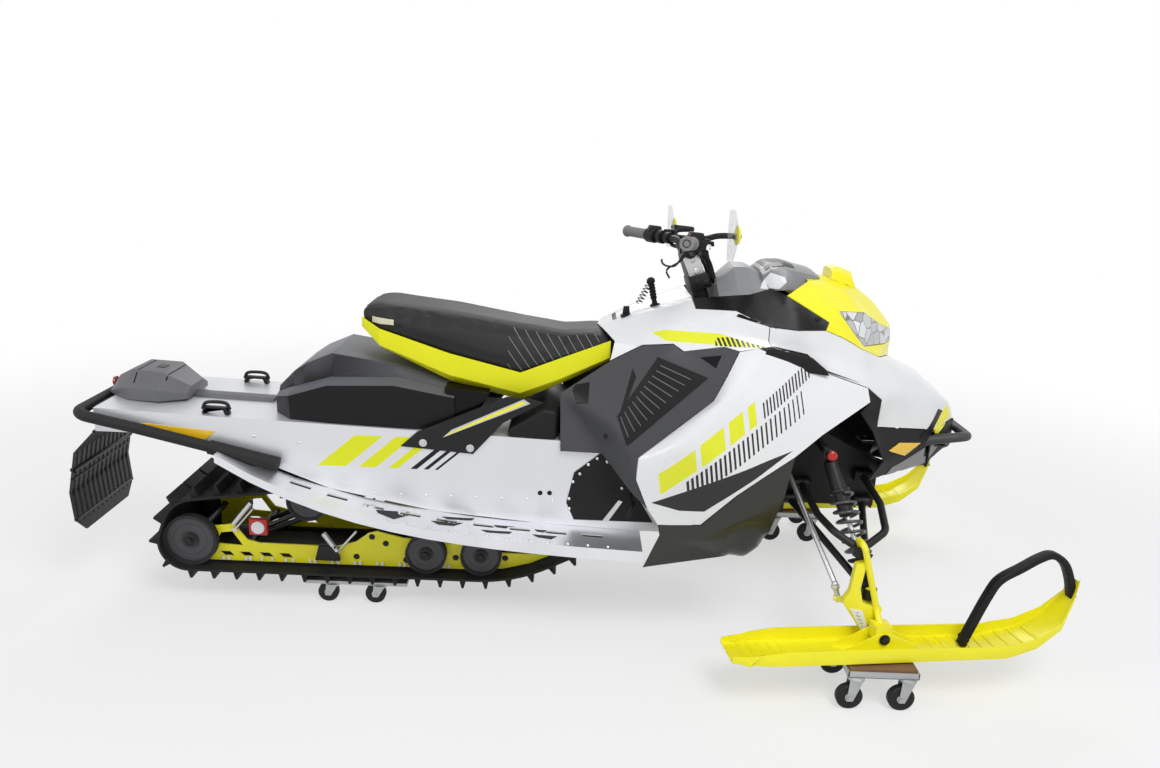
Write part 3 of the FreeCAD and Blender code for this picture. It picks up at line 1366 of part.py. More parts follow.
def track_arms():
    """Swing arms of the track suspension on their cross shafts, with the upper idler's bracket."""
    wide = tunnel_half_width - sheet_thickness - fit_gap
    inside = rail_y - fit_gap
    arm_y = 0.5 * inside
    shapes = []
    for (top_x, top_z), (low_x, low_z) in arm_shafts():
        parts = [across(axle_radius, wide, top_x, top_z), across(axle_radius, inside, low_x, low_z)]
        for y in (-arm_y, arm_y):
            parts.append(bar(0.85 * axle_radius, V(top_x, y, top_z), V(low_x, y, low_z)))
        shapes.append(parts)
    (top_x, top_z), (low_x, low_z) = arm_shafts()[1]
    share = (upper_idler_x - top_x) / (low_x - top_x)
    tube_z = top_z + share * (low_z - top_z)
    half = 1.8 * axle_radius
    tube_z -= 0.3 * axle_radius
    outline = [(upper_idler_x - half, tube_z), (upper_idler_x + half, tube_z),
               (upper_idler_x + half, upper_idler_z + half), (upper_idler_x - half, upper_idler_z + half)]
    for y in (-arm_y, arm_y):
        shapes[1].append(side_plate(outline, y - sheet_thickness, y + sheet_thickness))
    rear = joined(shapes[1]).cut(across(axle_radius + running_gap, wide, upper_idler_x, upper_idler_z))
    return Part.makeCompound([joined(shapes[0]), rear])


def track_shocks():
    """Two dampers in the middle of the track suspension."""
    (front_top, _), (rear_top, rear_low) = arm_shafts()
    bogie_z = belt_inner_z + wheel_radius + belt_float
    return Part.makeCompound([damper(front_top, (rear_bogie_x, bogie_z)), damper(rear_top, rear_low)])


def ice_scratchers():
    """Spring rods that scratch the ice, each on a boss beside its rail."""
    low = belt_inner_z + slider_height
    rod = 0.5 * shock_rod_radius
    face = rail_y + rail_thickness + fit_gap
    rods = []
    for x, share in zip(scratcher_x, scratcher_shares):
        z = low + share * rail_height
        boss = cylinder(2 * rod, 2 * rod, V(x, face, z), V(0, 1, 0))
        spot = V(x, face + rod, z)
        rods.append(pair(boss.fuse(bar(rod, spot, spot + V(scratcher_reach, 0, scratcher_rise)))))
    return Part.makeCompound(rods)


def foot_wells():
    """Plates that close the tunnel's sides at the rider's feet, with toe bars."""
    outer = tunnel_half_width + fit_gap
    shares = [(0.155, 0.145), (0.130, 0.20), (0.150, 0.30), (0.235, 0.372), (0.330, 0.260), (0.400, 0.145)]
    outline = [(body_point((sx, 0, sz)).x, body_point((sx, 0, sz)).z) for sx, sz in shares]
    plate = side_plate(outline, outer, outer + sheet_thickness)
    toe_x, toe_z = outline[4]
    toe_y = board_outer_y - 2 * board_rim_width
    toe_path = [V(toe_x, outer + sheet_thickness, toe_z - 2 * axle_radius),
                V(toe_x, toe_y, toe_z - 2 * axle_radius),
                V(toe_x - 2 * axle_radius, toe_y, toe_z - 6 * axle_radius)]
    toe = tube(toe_path, 0.7 * axle_radius, 2 * axle_radius)
    return pair(plate.fuse(toe))


def cowl_facets():
    """Facets of the bodywork's left half by panel, each a run of corner names."""
    return {
        "console_shroud": [
            "top_rear top_mid rim_mid rim_rear", "top_mid top_front rim_front rim_mid",
            "rim_rear rim_mid band_rear side_rear", "rim_mid rim_front ear_rear band_rear",
            "band_rear ear_rear ear_low band_mid", "band_mid ear_low ear_bend band_front",
            "side_rear band_rear knee_rear side_low", "band_rear knee_top knee_rear",
            "band_rear band_mid knee_top", "band_mid knee_step knee_top",
            "band_mid knee_front knee_step", "band_mid panel_rear knee_front",
            "band_mid band_front panel_rear", "panel_rear band_front vent_rear"],
        "upper_side_panels": [
            "rim_front ear_low ear_rear", "rim_front ear_crest ear_low", "ear_crest ear_bend ear_low",
            "ear_crest ear_peak ear_bend", "ear_peak ear_front ear_bend", "ear_peak ear_brow ear_front",
            "ear_brow ear_tip ear_chin ear_front"],
        "headlight_pod": [
            "ear_brow visor_brow ear_tip", "ear_brow visor_rear visor_brow",
            "ear_tip visor_foot ear_chin", "ear_tip lamp_outer visor_foot",
            "ear_tip visor_brow lamp_outer", "visor_rear lamp_high visor_brow",
            "visor_rear visor_mid lamp_high", "visor_mid lamp_inner_high lamp_high",
            "visor_mid visor_front lamp_inner_high", "visor_mid visor_top visor_front",
            "visor_rear visor_top visor_mid", "visor_rear visor_back visor_top",
            "visor_front beak_side lamp_inner_high", "visor_front beak beak_side",
            "beak_side beak beak_foot lamp_inner_low", "lamp_outer visor_lip visor_foot",
            "lamp_outer lamp_low visor_lip", "lamp_low visor_base visor_lip",
            "lamp_low lamp_front_low visor_base", "lamp_front_low chin visor_base",
            "lamp_front_low lamp_inner_low chin", "lamp_inner_low beak_foot chin"],
        "headlight_lenses": [
            "visor_brow lamp_high lamp_outer", "lamp_outer lamp_high lamp_low",
            "lamp_high lamp_front_low lamp_low", "lamp_high lamp_inner_high lamp_front_low",
            "lamp_inner_high lamp_inner_low lamp_front_low", "lamp_inner_high beak_side lamp_inner_low"],
        "hood": [
            "band_front ear_bend ear_front", "band_front ear_front crease_rear",
            "ear_front ear_chin crease_rear", "ear_chin visor_foot crease_rear",
            "visor_foot crease_mid crease_rear", "visor_foot visor_lip crease_mid",
            "visor_lip visor_base crease_mid", "visor_base crease_front crease_mid",
            "visor_base brow_mid crease_front", "visor_base chin brow_mid", "chin ridge_mid brow_mid",
            "brow_mid ridge_mid ridge_front", "brow_mid ridge_front brow_front",
            "crease_front brow_mid brow_front", "crease_front brow_front crease_tip",
            "brow_front ridge_front nose_top", "brow_front nose_top nose_side",
            "crease_tip brow_front nose_side", "band_front crease_rear vent_mid",
            "band_front vent_mid vent_rear", "crease_rear vent_front vent_mid",
            "crease_rear crease_mid hem_mid", "crease_rear hem_mid vent_front",
            "crease_mid notch hem_mid", "crease_mid crease_front notch", "crease_front hem_corner notch",
            "crease_front hem_front hem_corner", "crease_front crease_tip hem_front",
            "crease_tip nose_low hem_front", "crease_tip nose_side nose_low",
            "nose_side nose_top nose_foot nose_low"],
        "side_panels": [
            "flank_2 flank_3 shoulder_mid", "flank_2 shoulder_mid shoulder_low",
            "flank_1 flank_2 shoulder_low", "flank_0 flank_1 shoulder_low",
            "flank_0 shoulder_low skirt_1", "flank_0 skirt_1 skirt_0", "shoulder_low skirt_2 skirt_1",
            "shoulder_low skirt_3 skirt_2", "shoulder_low shoulder_front skirt_3",
            "shoulder_low shoulder_mid shoulder_front", "shoulder_front skirt_4 skirt_3",
            "shoulder_front skirt_5 skirt_4", "shoulder_front skirt_6 skirt_5",
            "flank_3 flank_4 shoulder_mid", "flank_4 panel_rear shoulder_mid",
            "panel_rear panel_peak shoulder_mid", "panel_peak shoulder_front shoulder_mid",
            "panel_peak vent_sill shoulder_front", "vent_sill vent_front shoulder_front",
            "vent_front hem_mid shoulder_front", "hem_mid skirt_6 shoulder_front"],
        "side_consoles": [
            "side_low knee_rear pad_top", "knee_rear knee_top pad_top", "knee_top knee_step pad_top",
            "knee_step pad_front pad_top", "knee_step knee_front pad_front",
            "knee_front panel_rear pad_front", "panel_rear flank_4 pad_front",
            "flank_4 flank_3 pad_front", "pad_top pad_front pad_low", "pad_top pad_low pad_rear",
            "pad_front flank_3 pad_low", "flank_3 flank_2 pad_low", "flank_2 flank_1 pad_low",
            "side_low pad_top pad_rear", "side_low pad_rear hip", "console_high side_low hip",
            "console_high hip console_low", "console_high console_low console_rear",
            "hip pad_rear pad_low", "hip pad_low ankle", "pad_low flank_1 ankle",
            "console_low hip ankle", "flank_1 flank_0 ankle"],
        "belly_panels": [
            "skirt_0 skirt_1 keel_mid", "skirt_1 keel_bulge keel_mid", "skirt_1 skirt_2 keel_bulge",
            "skirt_2 keel_front_bulge keel_bulge", "skirt_2 skirt_3 keel_front_bulge",
            "skirt_3 keel_front_3 keel_front_bulge", "skirt_3 skirt_4 keel_front_3",
            "keel_front_bulge keel_front_3 keel_front_2", "keel_front_bulge keel_front_2 keel_front_1",
            "keel_front_bulge keel_front_1 keel_foot", "keel_front_bulge keel_foot keel_low",
            "keel_bulge keel_front_bulge keel_low", "keel_mid keel_bulge keel_low",
            "keel_mid keel_low keel_rear", "keel_low keel_foot pan_foot pan_low",
            "keel_foot keel_front_1 pan_front pan_foot", "keel_front_1 keel_front_2 pan_rise pan_front"],
        "nose_fascia": [
            "hem_mid notch skirt_6", "skirt_6 notch arch_top", "arch_top notch hem_corner",
            "arch_top hem_corner arch_mid", "hem_corner hem_front fang", "hem_corner fang arch_low",
            "arch_mid hem_corner arch_low", "arch_low fang snout_low", "arch_low snout_low arch_foot",
            "hem_front nose_low snout", "hem_front snout fang", "fang snout snout_front",
            "fang snout_front snout_low", "nose_low nose_foot snout_mid", "nose_low snout_mid snout",
            "snout snout_mid snout_front_mid", "snout snout_front_mid snout_front",
            "snout_front snout_front_mid snout_low_mid", "snout_front snout_low_mid snout_low",
            "snout_low snout_low_mid chin_foot", "snout_low chin_foot arch_inner",
            "snout_low arch_inner arch_foot"],
    }


def cowl_points(side):
    """Every corner of the bodywork by name, on the left (side 1) or the right (side -1)."""
    return {name: body_point((sx, side * sy, sz)) for name, (sx, sy, sz) in cowl_corner_shares.items()}


def outward_triangles(facets, points):
    """Facets cut into triangles of corner names, wound so that their normals point outwards."""
    triangles = []
    for facet in facets:
        names = facet.split()
        for second, third in zip(names[1:], names[2:]):
            a, b, c = names[0], second, third
            normal = (points[b] - points[a]).cross(points[c] - points[a])
            middle = (points[a] + points[b] + points[c]) * (1 / 3)
            core_x = min(max(middle.x, core_rear_x), core_front_x)
            if normal.dot(middle - V(core_x, 0, core_z)) < 0:
                b, c = c, b
            triangles.append((a, b, c))
    return triangles


def corner_normals(points):
    """Unit normal of the whole bodywork at each corner of its left half."""
    normals = {name: V(0, 0, 0) for name in points}
    for facets in cowl_facets().values():
        for a, b, c in outward_triangles(facets, points):
            normal = (points[b] - points[a]).cross(points[c] - points[a])
            for name in (a, b, c):
                normals[name] = normals[name] + normal
    for name, point in points.items():
        if point.y == 0:
            normals[name].y = 0
        normals[name].normalize()
    return normals


def sewn_solid(faces):
    """Solid from flat faces that meet edge to edge."""
    shell = Part.Shell(faces)
    shell.sewShape()
    solid = Part.Solid(shell)
    if solid.Volume < 0:
        solid.reverse()
    return solid


def cowl_panel(name, both_halves):
    """Shell of one body panel: its facets, the same facets inside, and a rim between them."""
    left = cowl_points(1)
    inward = {key: normal * -panel_thickness for key, normal in corner_normals(left).items()}
    halves = (1, -1) if both_halves else (1,)
    faces = []
    rims = {}
    for side in halves:
        outer = cowl_points(side)
        inner = {key: outer[key] + V(way.x, side * way.y, way.z) for key, way in inward.items()}
        for a, b, c in outward_triangles(cowl_facets()[name], outer):
            faces.append(polygon_face([outer[a], outer[b], outer[c]]))
            faces.append(polygon_face([inner[c], inner[b], inner[a]]))
            for one, two in ((a, b), (b, c), (c, a)):
                key = (side, min(one, two), max(one, two))
                rims.setdefault(key, []).append((outer[one], outer[two], inner[one], inner[two], one < two))
    for (side, one, two), uses in rims.items():
        centred = both_halves and left[one].y == 0 and left[two].y == 0
        if len(uses) > 1 or centred:
            continue
        first, second, third, fourth, forward = uses[0]
        if forward:
            faces += [polygon_face([first, second, fourth]), polygon_face([first, fourth, third])]
        else:
            faces += [polygon_face([first, second, third]), polygon_face([second, fourth, third])]
    return sewn_solid(faces)


def cowl_pair(name):
    """A body panel of the left half and its mirror image."""
    return pair(cowl_panel(name, False))


def body_solid(stations):
    """Solid through stations of the bodywork, (share along, [(share across, share up), ...])."""
    sections = []
    for along, half in stations:
        right = [body_point((along, -sy, sz)) for sy, sz in half]
        left = [body_point((along, sy, sz)) for sy, sz in reversed(half)]
        sections.append(right + left)
    return ruled_solid(sections)


def arm_shafts():
    """Upper and lower shafts of the two track arms, as (x, z) pairs."""
    rear_foot = (rear_arm_foot_x, belt_inner_z + slider_height + rear_arm_foot_share * rail_height)
    return [(front_arm_top, front_arm_foot), (rear_arm_top, rear_foot)]


def damper(top, low):
    """Damper in the middle plane between two cross shafts, with an eye round each."""
    wide = shock_eye_width / 2
    start, end = V(top[0], 0, top[1]), V(low[0], 0, low[1])
    way = (end - start).normalize()
    length = (end - start).Length
    shapes = [bar(shock_rod_radius, start + way * axle_radius, end - way * axle_radius),
              bar(shock_body_radius, start + way * 2 * shock_eye_radius, start + way * 0.55 * length)]
    for eye in (start, end):
        shapes.append(across(shock_eye_radius, wide, eye.x, eye.z))
    body = joined(shapes)
    for eye in (start, end):
        body = body.cut(across(axle_radius + running_gap, 2 * wide, eye.x, eye.z))
    return body


def arm_roots():
    """Inner pivots of the right arms, (x, z), upper pair then lower pair."""
    return [(upper_front_root_x, upper_front_root_z), (upper_rear_root_x, upper_rear_root_z),
            (lower_front_root_x, lower_root_z), (lower_rear_root_x, lower_root_z)]


def bar_ends():
    """Straight bores in the open ends of the handlebar's tube."""
    end, way = bar_end_line()
    bore = bar(bar_bore_radius, end - way * bar_bore_radius, end + way * bar_bore_depth)
    return pair(bore)


def steering_arm_ball(side):
    """Ball of the steering rod over the end of the steering arm, skis straight ahead."""
    lower, _ = arm_ends()
    return V(lower.x - 6 * ball_radius, side * (kingpin_y - 2 * ball_radius), lower.z + ball_radius)


def king_line(side):
    """Lower joint centre and upward direction of a ski's steering axis."""
    lower, upper = arm_ends()
    return V(lower.x, side * kingpin_y, lower.z), (upper - lower).normalize()


def steered_ski(shape, side):
    """Shape of a ski's body turned with the bars, as the machine is parked."""
    foot, king = king_line(side)
    steered = shape.copy()
    steered.rotate(foot, king, ski_turn_ratio * bar_turn)
    return steered


def steered_bar(shape):
    """Shape of the steering bar turned to the left, as the machine is parked."""
    head, up = head_frame()
    steered = shape.copy()
    steered.rotate(head, up, bar_turn)
    return steered


def pieces():
    """Every piece of the machine by name."""
    on_ski = {"spindle": spindle(), "ski": ski(), "ski_loop": ski_loop()}
    on_bar = {"handlebar": handlebar(), "grips": grips(), "bar_controls": bar_controls(),
              "hand_guards": hand_guards()}
    made = {
        "tunnel": tunnel(),
        "running_boards": running_boards(),
        "foot_wells": foot_wells(),
        "tail_cover": tail_cover(),
        "centre_strip": centre_strip(),
        "rear_bumper": rear_bumper(),
        "snow_flap": snow_flap(),
        "cargo_anchors": cargo_anchors(),
        "rear_box_base": rear_box_base(),
        "rear_box_lid": rear_box_lid(),
        "seat_cushion": seat_cushion(),
        "seat_skirt": seat_skirt(),
        "seat_struts": seat_struts(),
        "fuel_tank": fuel_tank(),
        "side_consoles": side_consoles(),
        "console_shroud": console_shroud(),
        "upper_side_panels": upper_side_panels(),
        "instrument_cluster": instrument_cluster(),
        "headlight_pod": headlight_pod(),
        "windshield": windshield(),
        "headlight_lenses": headlight_lenses(),
        "hood": hood(),
        "side_panels": side_panels(),
        "belly_panels": belly_panels(),
        "nose_fascia": nose_fascia(),
        "front_bumper": front_bumper(),
        "engine_block": engine_block(),
        "front_subframe": front_subframe(),
        "upper_arms": upper_arms(),
        "lower_arms": lower_arms(),
        "front_shocks": front_shocks(),
        "tie_rods": tie_rods(),
        "steering_column": steering_column(),
        "suspension_rails": suspension_rails(),
        "slide_shoes": slide_shoes(),
        "track_wheels": track_wheels(),
        "track_arms": track_arms(),
        "track_shocks": track_shocks(),
        "ice_scratchers": ice_scratchers(),
        "drive_axle": drive_axle(),
        "track": track(),
        "track_dolly": track_dolly(),
        "ski_dolly_right": ski_dolly(-1),
        "ski_dolly_left": ski_dolly(1),
    }
    for name, shape in on_bar.items():
        made[name] = steered_bar(shape)
    for name, shape in on_ski.items():
        made[name + "_right"] = steered_ski(shape, -1)
        made[name + "_left"] = steered_ski(mirrored(shape), 1)
    return made


def main():
    """Build each piece and write it to its own file."""
    os.makedirs("parts", exist_ok=True)
    for name, shape in pieces().items():
        shape.exportStep("parts/" + name + ".step")


main()
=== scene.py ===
"""Snowmobile on transport dollies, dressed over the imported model."""
import json
import logging
import math
from dataclasses import dataclass
from enum import Enum
from typing import Callable, Iterable, Optional, Sequence, Union

import bmesh
import bpy
from mathutils import Matrix, Vector
from mathutils.bvhtree import BVHTree


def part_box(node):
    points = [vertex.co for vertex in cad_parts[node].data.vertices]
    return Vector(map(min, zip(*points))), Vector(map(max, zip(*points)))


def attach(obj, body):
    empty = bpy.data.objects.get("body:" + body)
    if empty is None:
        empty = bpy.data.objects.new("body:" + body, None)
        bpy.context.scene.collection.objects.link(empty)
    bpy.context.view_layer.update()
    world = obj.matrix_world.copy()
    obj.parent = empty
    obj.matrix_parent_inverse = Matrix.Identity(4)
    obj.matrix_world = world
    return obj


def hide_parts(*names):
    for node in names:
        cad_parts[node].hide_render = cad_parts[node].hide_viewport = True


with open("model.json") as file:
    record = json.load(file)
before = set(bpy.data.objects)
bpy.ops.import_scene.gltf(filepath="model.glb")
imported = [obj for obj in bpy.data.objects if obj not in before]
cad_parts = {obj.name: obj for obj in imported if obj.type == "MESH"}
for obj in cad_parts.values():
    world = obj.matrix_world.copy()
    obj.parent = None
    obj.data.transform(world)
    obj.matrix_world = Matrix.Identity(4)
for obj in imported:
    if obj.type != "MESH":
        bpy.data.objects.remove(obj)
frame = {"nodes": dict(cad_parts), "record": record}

log = logging.getLogger("snowmobile")
Colour = tuple[float, float, float]
Point = tuple[float, float, float]
Pair = tuple[float, float]
Outline = Sequence[Pair]
Number = Union[int, float, "Value"]
Form = bmesh.types.BMesh
Material = bpy.types.Material
Look = Union[str, Material, None]


class Graph:
    """Node tree of one material."""

    def __init__(self, name: str) -> None:
        """Start an empty material.

        Args:
            name: Name of the material.
        """
        self.material = bpy.data.materials.new(name)
        self.material.use_nodes = True
        self.tree = self.material.node_tree
        self.tree.nodes.clear()

    @classmethod
    def of_tree(cls, tree: bpy.types.NodeTree) -> "Graph":
        """Empty an existing tree and work in it."""
        graph = cls.__new__(cls)
        graph.tree = tree
        tree.nodes.clear()
        return graph

    def node(self, kind: str, settings: Optional[dict] = None, inputs: Optional[dict] = None) -> bpy.types.Node:
        """Add one node, set its options first and its sockets after.

        Args:
            kind: Node type, without the leading ShaderNode.
            settings: Options of the node by name.
            inputs: Values or links by socket name or index.

        Returns:
            The new node.
        """
        made = self.tree.nodes.new("ShaderNode" + kind)
        for key, value in (settings or {}).items():
            if key == "stops":
                self._set_stops(made, value)
            else:
                setattr(made, key, value)
        for key, value in (inputs or {}).items():
            self.feed(made.inputs[key], value)
        return made

    @staticmethod
    def _set_stops(node: bpy.types.Node, stops: Sequence[tuple[float, Colour]]) -> None:
        """Give a colour ramp its stops."""
        ramp = node.color_ramp
        while len(ramp.elements) < len(stops):
            ramp.elements.new(0.5)
        for element, (place, colour) in zip(ramp.elements, stops):
            element.position = place
            element.color = (*colour, 1.0)

    def feed(self, socket: bpy.types.NodeSocket, value: object) -> None:
        """Link a value's socket, or set a constant."""
        if isinstance(value, Value):
            self.tree.links.new(value.socket, socket)
        elif isinstance(value, bpy.types.NodeSocket):
            self.tree.links.new(value, socket)
        elif isinstance(value, (tuple, list)) and len(value) == 3 and len(socket.default_value) == 4:
            socket.default_value = (*value, 1.0)
        else:
            socket.default_value = value

    def value(self, socket: bpy.types.NodeSocket) -> "Value":
        """Wrap a socket so that it can be used in expressions."""
        return Value(self, socket)

    def math(self, operation: str, *values: Number) -> "Value":
        """Add one Math node."""
        made = self.node("Math", {"operation": operation}, dict(enumerate(values)))
        return Value(self, made.outputs[0])

    def place(self) -> tuple["Value", "Value", "Value"]:
        """Position on the machine in metres, as three values."""
        coordinates = self.node("TexCoord")
        split = self.node("SeparateXYZ", inputs={0: coordinates.outputs["Object"]})
        return tuple(Value(self, split.outputs[i]) for i in range(3))

    def noise(self, scale: float, detail: float = 3.0, rough: float = 0.5,
              stretch: Point = (1, 1, 1)) -> "Value":
        """Smooth noise over the object.

        Args:
            scale: Cells per metre.
            detail: Octaves.
            rough: Share of each further octave.
            stretch: Scale of each axis.

        Returns:
            Noise from 0 to 1.
        """
        coordinates = self.node("TexCoord")
        mapped = self.node("Mapping", inputs={"Vector": coordinates.outputs["Object"], "Scale": stretch})
        made = self.node("TexNoise", inputs={"Vector": mapped.outputs[0], "Scale": scale, "Detail": detail,
                                             "Roughness": rough})
        return Value(self, made.outputs[0])

    def mix(self, share: Number, low: object, high: object) -> "Value":
        """Blend two colours."""
        made = self.node("Mix", {"data_type": "RGBA"}, {0: share, 6: low, 7: high})
        return Value(self, made.outputs[2])

    def bump(self, height: "Value", depth: float, strength: float = 1.0) -> bpy.types.NodeSocket:
        """Normal raised by a height."""
        return self.node("Bump", inputs={"Height": height, "Distance": depth, "Strength": strength}).outputs[0]

    def surface(self, **sockets: object) -> Material:
        """Close the tree with a Principled shader.

        Args:
            sockets: Values by socket name, with underscores for spaces.

        Returns:
            The material.
        """
        shader = self.node("BsdfPrincipled", inputs={key.replace("_", " "): v for key, v in sockets.items()})
        self.node("OutputMaterial", inputs={0: shader.outputs[0]})
        return self.material


def operator(operation: str, reflected: bool = False) -> Callable[..., "Value"]:
    """Method that adds one Math node.

    Args:
        operation: Operation of the node.
        reflected: Whether the value comes second.

    Returns:
        The method.
    """
    def method(self: "Value", *others: Number) -> "Value":
        """Value of the expression."""
        return self.graph.math(operation, *((*others, self) if reflected else (self, *others)))
    return method


class Value:
    """Socket in an arithmetic expression."""

    def __init__(self, graph: Graph, socket: bpy.types.NodeSocket) -> None:
        """Wrap a socket of a graph."""
        self.graph = graph
        self.socket = socket

    __add__, __radd__ = operator("ADD"), operator("ADD", True)
    __sub__, __rsub__ = operator("SUBTRACT"), operator("SUBTRACT", True)
    __mul__, __rmul__ = operator("MULTIPLY"), operator("MULTIPLY", True)
    __gt__, __lt__ = operator("GREATER_THAN"), operator("LESS_THAN")
    __abs__, __mod__ = operator("ABSOLUTE"), operator("FLOORED_MODULO")


@dataclass(frozen=True)
class Finish:
    """Plain moulded, painted or metal surface with fine variation.

    Attributes:
        name: Material name.
        colour: Base colour.
        roughness: Middle roughness.
        metallic: Metal share.
        coat: Clear coat share.
        grain: Cells per metre of the bump, 0 for none.
        depth: Height of the bump in metres.
        shade: How much the colour varies.
        spread: How much the roughness varies.
        gloss: Strength of its mirror light.
        alpha: Opaque share.
    """

    name: str
    colour: Colour
    roughness: float = 0.5
    metallic: float = 0.0
    coat: float = 0.0
    grain: float = 900.0
    depth: float = 0.0002
    shade: float = 0.06
    spread: float = 0.08
    gloss: float = 0.5
    alpha: float = 1.0

    def material(self) -> Material:
        """Build the material."""
        graph = Graph(self.name)
        cloud = graph.noise(7.0, 4.0, 0.6)
        fine = graph.noise(self.grain, 2.0)
        dark = tuple(c * (1 - 2 * self.shade) for c in self.colour)
        light = tuple(min(1.0, c * (1 + self.shade)) for c in self.colour)
        return graph.surface(
            Base_Color=graph.mix(cloud, dark, light),
            Roughness=self.roughness + (cloud - 0.5) * (2 * self.spread),
            Metallic=self.metallic,
            Coat_Weight=self.coat,
            Specular_IOR_Level=self.gloss,
            Alpha=self.alpha,
            Normal=graph.bump(fine, self.depth))


@dataclass
class Studio:
    """Floor, lamps and the camera at the photograph's angle.

    Attributes:
        eye: Camera place in metres.
        pitch: Degrees below the horizon.
        yaw: Degrees towards +X.
        roll: Degrees of roll.
        lens: Focal length in millimetres on a 36 mm sensor.
        floor_half: Half width of the floor.
        shade: How much of the floor's shading shows near the machine.
        sky: Light of the surroundings.
    """

    eye: Point = (0.0281, -2.7951, 1.4993)
    pitch: float = 15.48
    yaw: float = 0.619
    roll: float = 2.54
    lens: float = 27.943
    floor_half: float = 14.0
    shade: float = 0.44
    sky: float = 0.42

    def camera(self) -> None:
        """Place the camera."""
        pitch, yaw, roll = (math.radians(v) for v in (self.pitch, self.yaw, self.roll))
        ahead = Vector((math.sin(yaw) * math.cos(pitch), math.cos(yaw) * math.cos(pitch), -math.sin(pitch)))
        level = Vector((math.cos(yaw), -math.sin(yaw), 0))
        above = level.cross(ahead)
        right = math.cos(roll) * level + math.sin(roll) * above
        up = -math.sin(roll) * level + math.cos(roll) * above
        data = bpy.data.cameras.new("camera")
        data.lens = self.lens
        data.sensor_width = 36.0
        data.clip_end = 60.0
        camera = bpy.data.objects.new("camera", data)
        camera.matrix_world = Matrix((
            (right.x, up.x, -ahead.x, self.eye[0]),
            (right.y, up.y, -ahead.y, self.eye[1]),
            (right.z, up.z, -ahead.z, self.eye[2]),
            (0, 0, 0, 1)))
        bpy.context.scene.collection.objects.link(camera)
        bpy.context.scene.camera = camera

    @staticmethod
    def seen(graph: Graph) -> "Value":
        """One for the rays that show a surface: straight, mirrored or through glass."""
        path = graph.node("LightPath")
        names = ("Is Camera Ray", "Is Glossy Ray", "Is Transmission Ray")
        rays = [graph.value(path.outputs[name]) for name in names]
        return (rays[0] + rays[1] + rays[2]) > 0.5

    def floor(self) -> None:
        """Lay a white floor that keeps soft shadows near the machine and fades to the backdrop."""
        mesh = bpy.data.meshes.new("floor")
        half = self.floor_half
        corners = [(-half, -half, 0), (half, -half, 0), (half, half, 0), (-half, half, 0)]
        mesh.from_pydata(corners, [], [(0, 1, 2, 3)])
        floor = bpy.data.objects.new("floor", mesh)
        graph = Graph("pale_floor")
        x, y, _ = graph.place()
        distance = graph.math("SQRT", x * x + y * y)
        near = graph.node("MapRange", {"interpolation_type": "SMOOTHSTEP"},
                          {0: distance, 1: 1.9, 2: 4.6, 3: self.shade, 4: 0.0})
        shaded = graph.value(near.outputs[0])
        cloud = graph.noise(1.5, 5.0)
        pale = graph.mix(cloud, (0.80, 0.805, 0.81), (0.84, 0.842, 0.845))
        matt = graph.node("BsdfDiffuse", inputs={0: pale})
        glow = graph.node("Emission", inputs={0: (1.0, 1.0, 1.0), 1: 1.0})
        white = graph.node("MixShader", inputs={0: shaded, 1: glow.outputs[0], 2: matt.outputs[0]})
        both = graph.node("MixShader", inputs={0: self.seen(graph), 1: matt.outputs[0], 2: white.outputs[0]})
        graph.node("OutputMaterial", inputs={0: both.outputs[0]})
        mesh.materials.append(graph.material)
        bpy.context.scene.collection.objects.link(floor)

    def lamp(self, name: str, place: Point, target: Point, size: float, watts: float) -> None:
        """Hang one soft lamp."""
        data = bpy.data.lights.new(name, "AREA")
        data.shape = "DISK"
        data.size = size
        data.energy = watts
        lamp = bpy.data.objects.new(name, data)
        lamp.location = place
        lamp.rotation_euler = (Vector(target) - Vector(place)).to_track_quat("-Z", "Y").to_euler()
        bpy.context.scene.collection.objects.link(lamp)

    def world(self) -> None:
        """Light the surroundings evenly and show them white."""
        world = bpy.data.worlds.new("studio")
        world.use_nodes = True
        graph = Graph.of_tree(world.node_tree)
        strength = self.sky + self.seen(graph) * (1.0 - self.sky)
        back = graph.node("Background", inputs={0: (1.0, 1.0, 1.0), 1: strength})
        graph.node("OutputWorld", inputs={0: back.outputs[0]})
        bpy.context.scene.world = world

    def build(self) -> None:
        """Set up the whole studio."""
        self.camera()
        self.floor()
        self.world()
        self.lamp("key", (1.4, -3.0, 4.4), (0, 0, 0.6), 2.6, 135)
        self.lamp("fill", (-3.8, -2.6, 2.6), (-0.3, 0, 0.5), 2.2, 45)
        self.lamp("back", (0.4, 3.8, 3.4), (0, 0, 0.7), 2.4, 60)
        bpy.context.scene.view_settings.view_transform = "Standard"


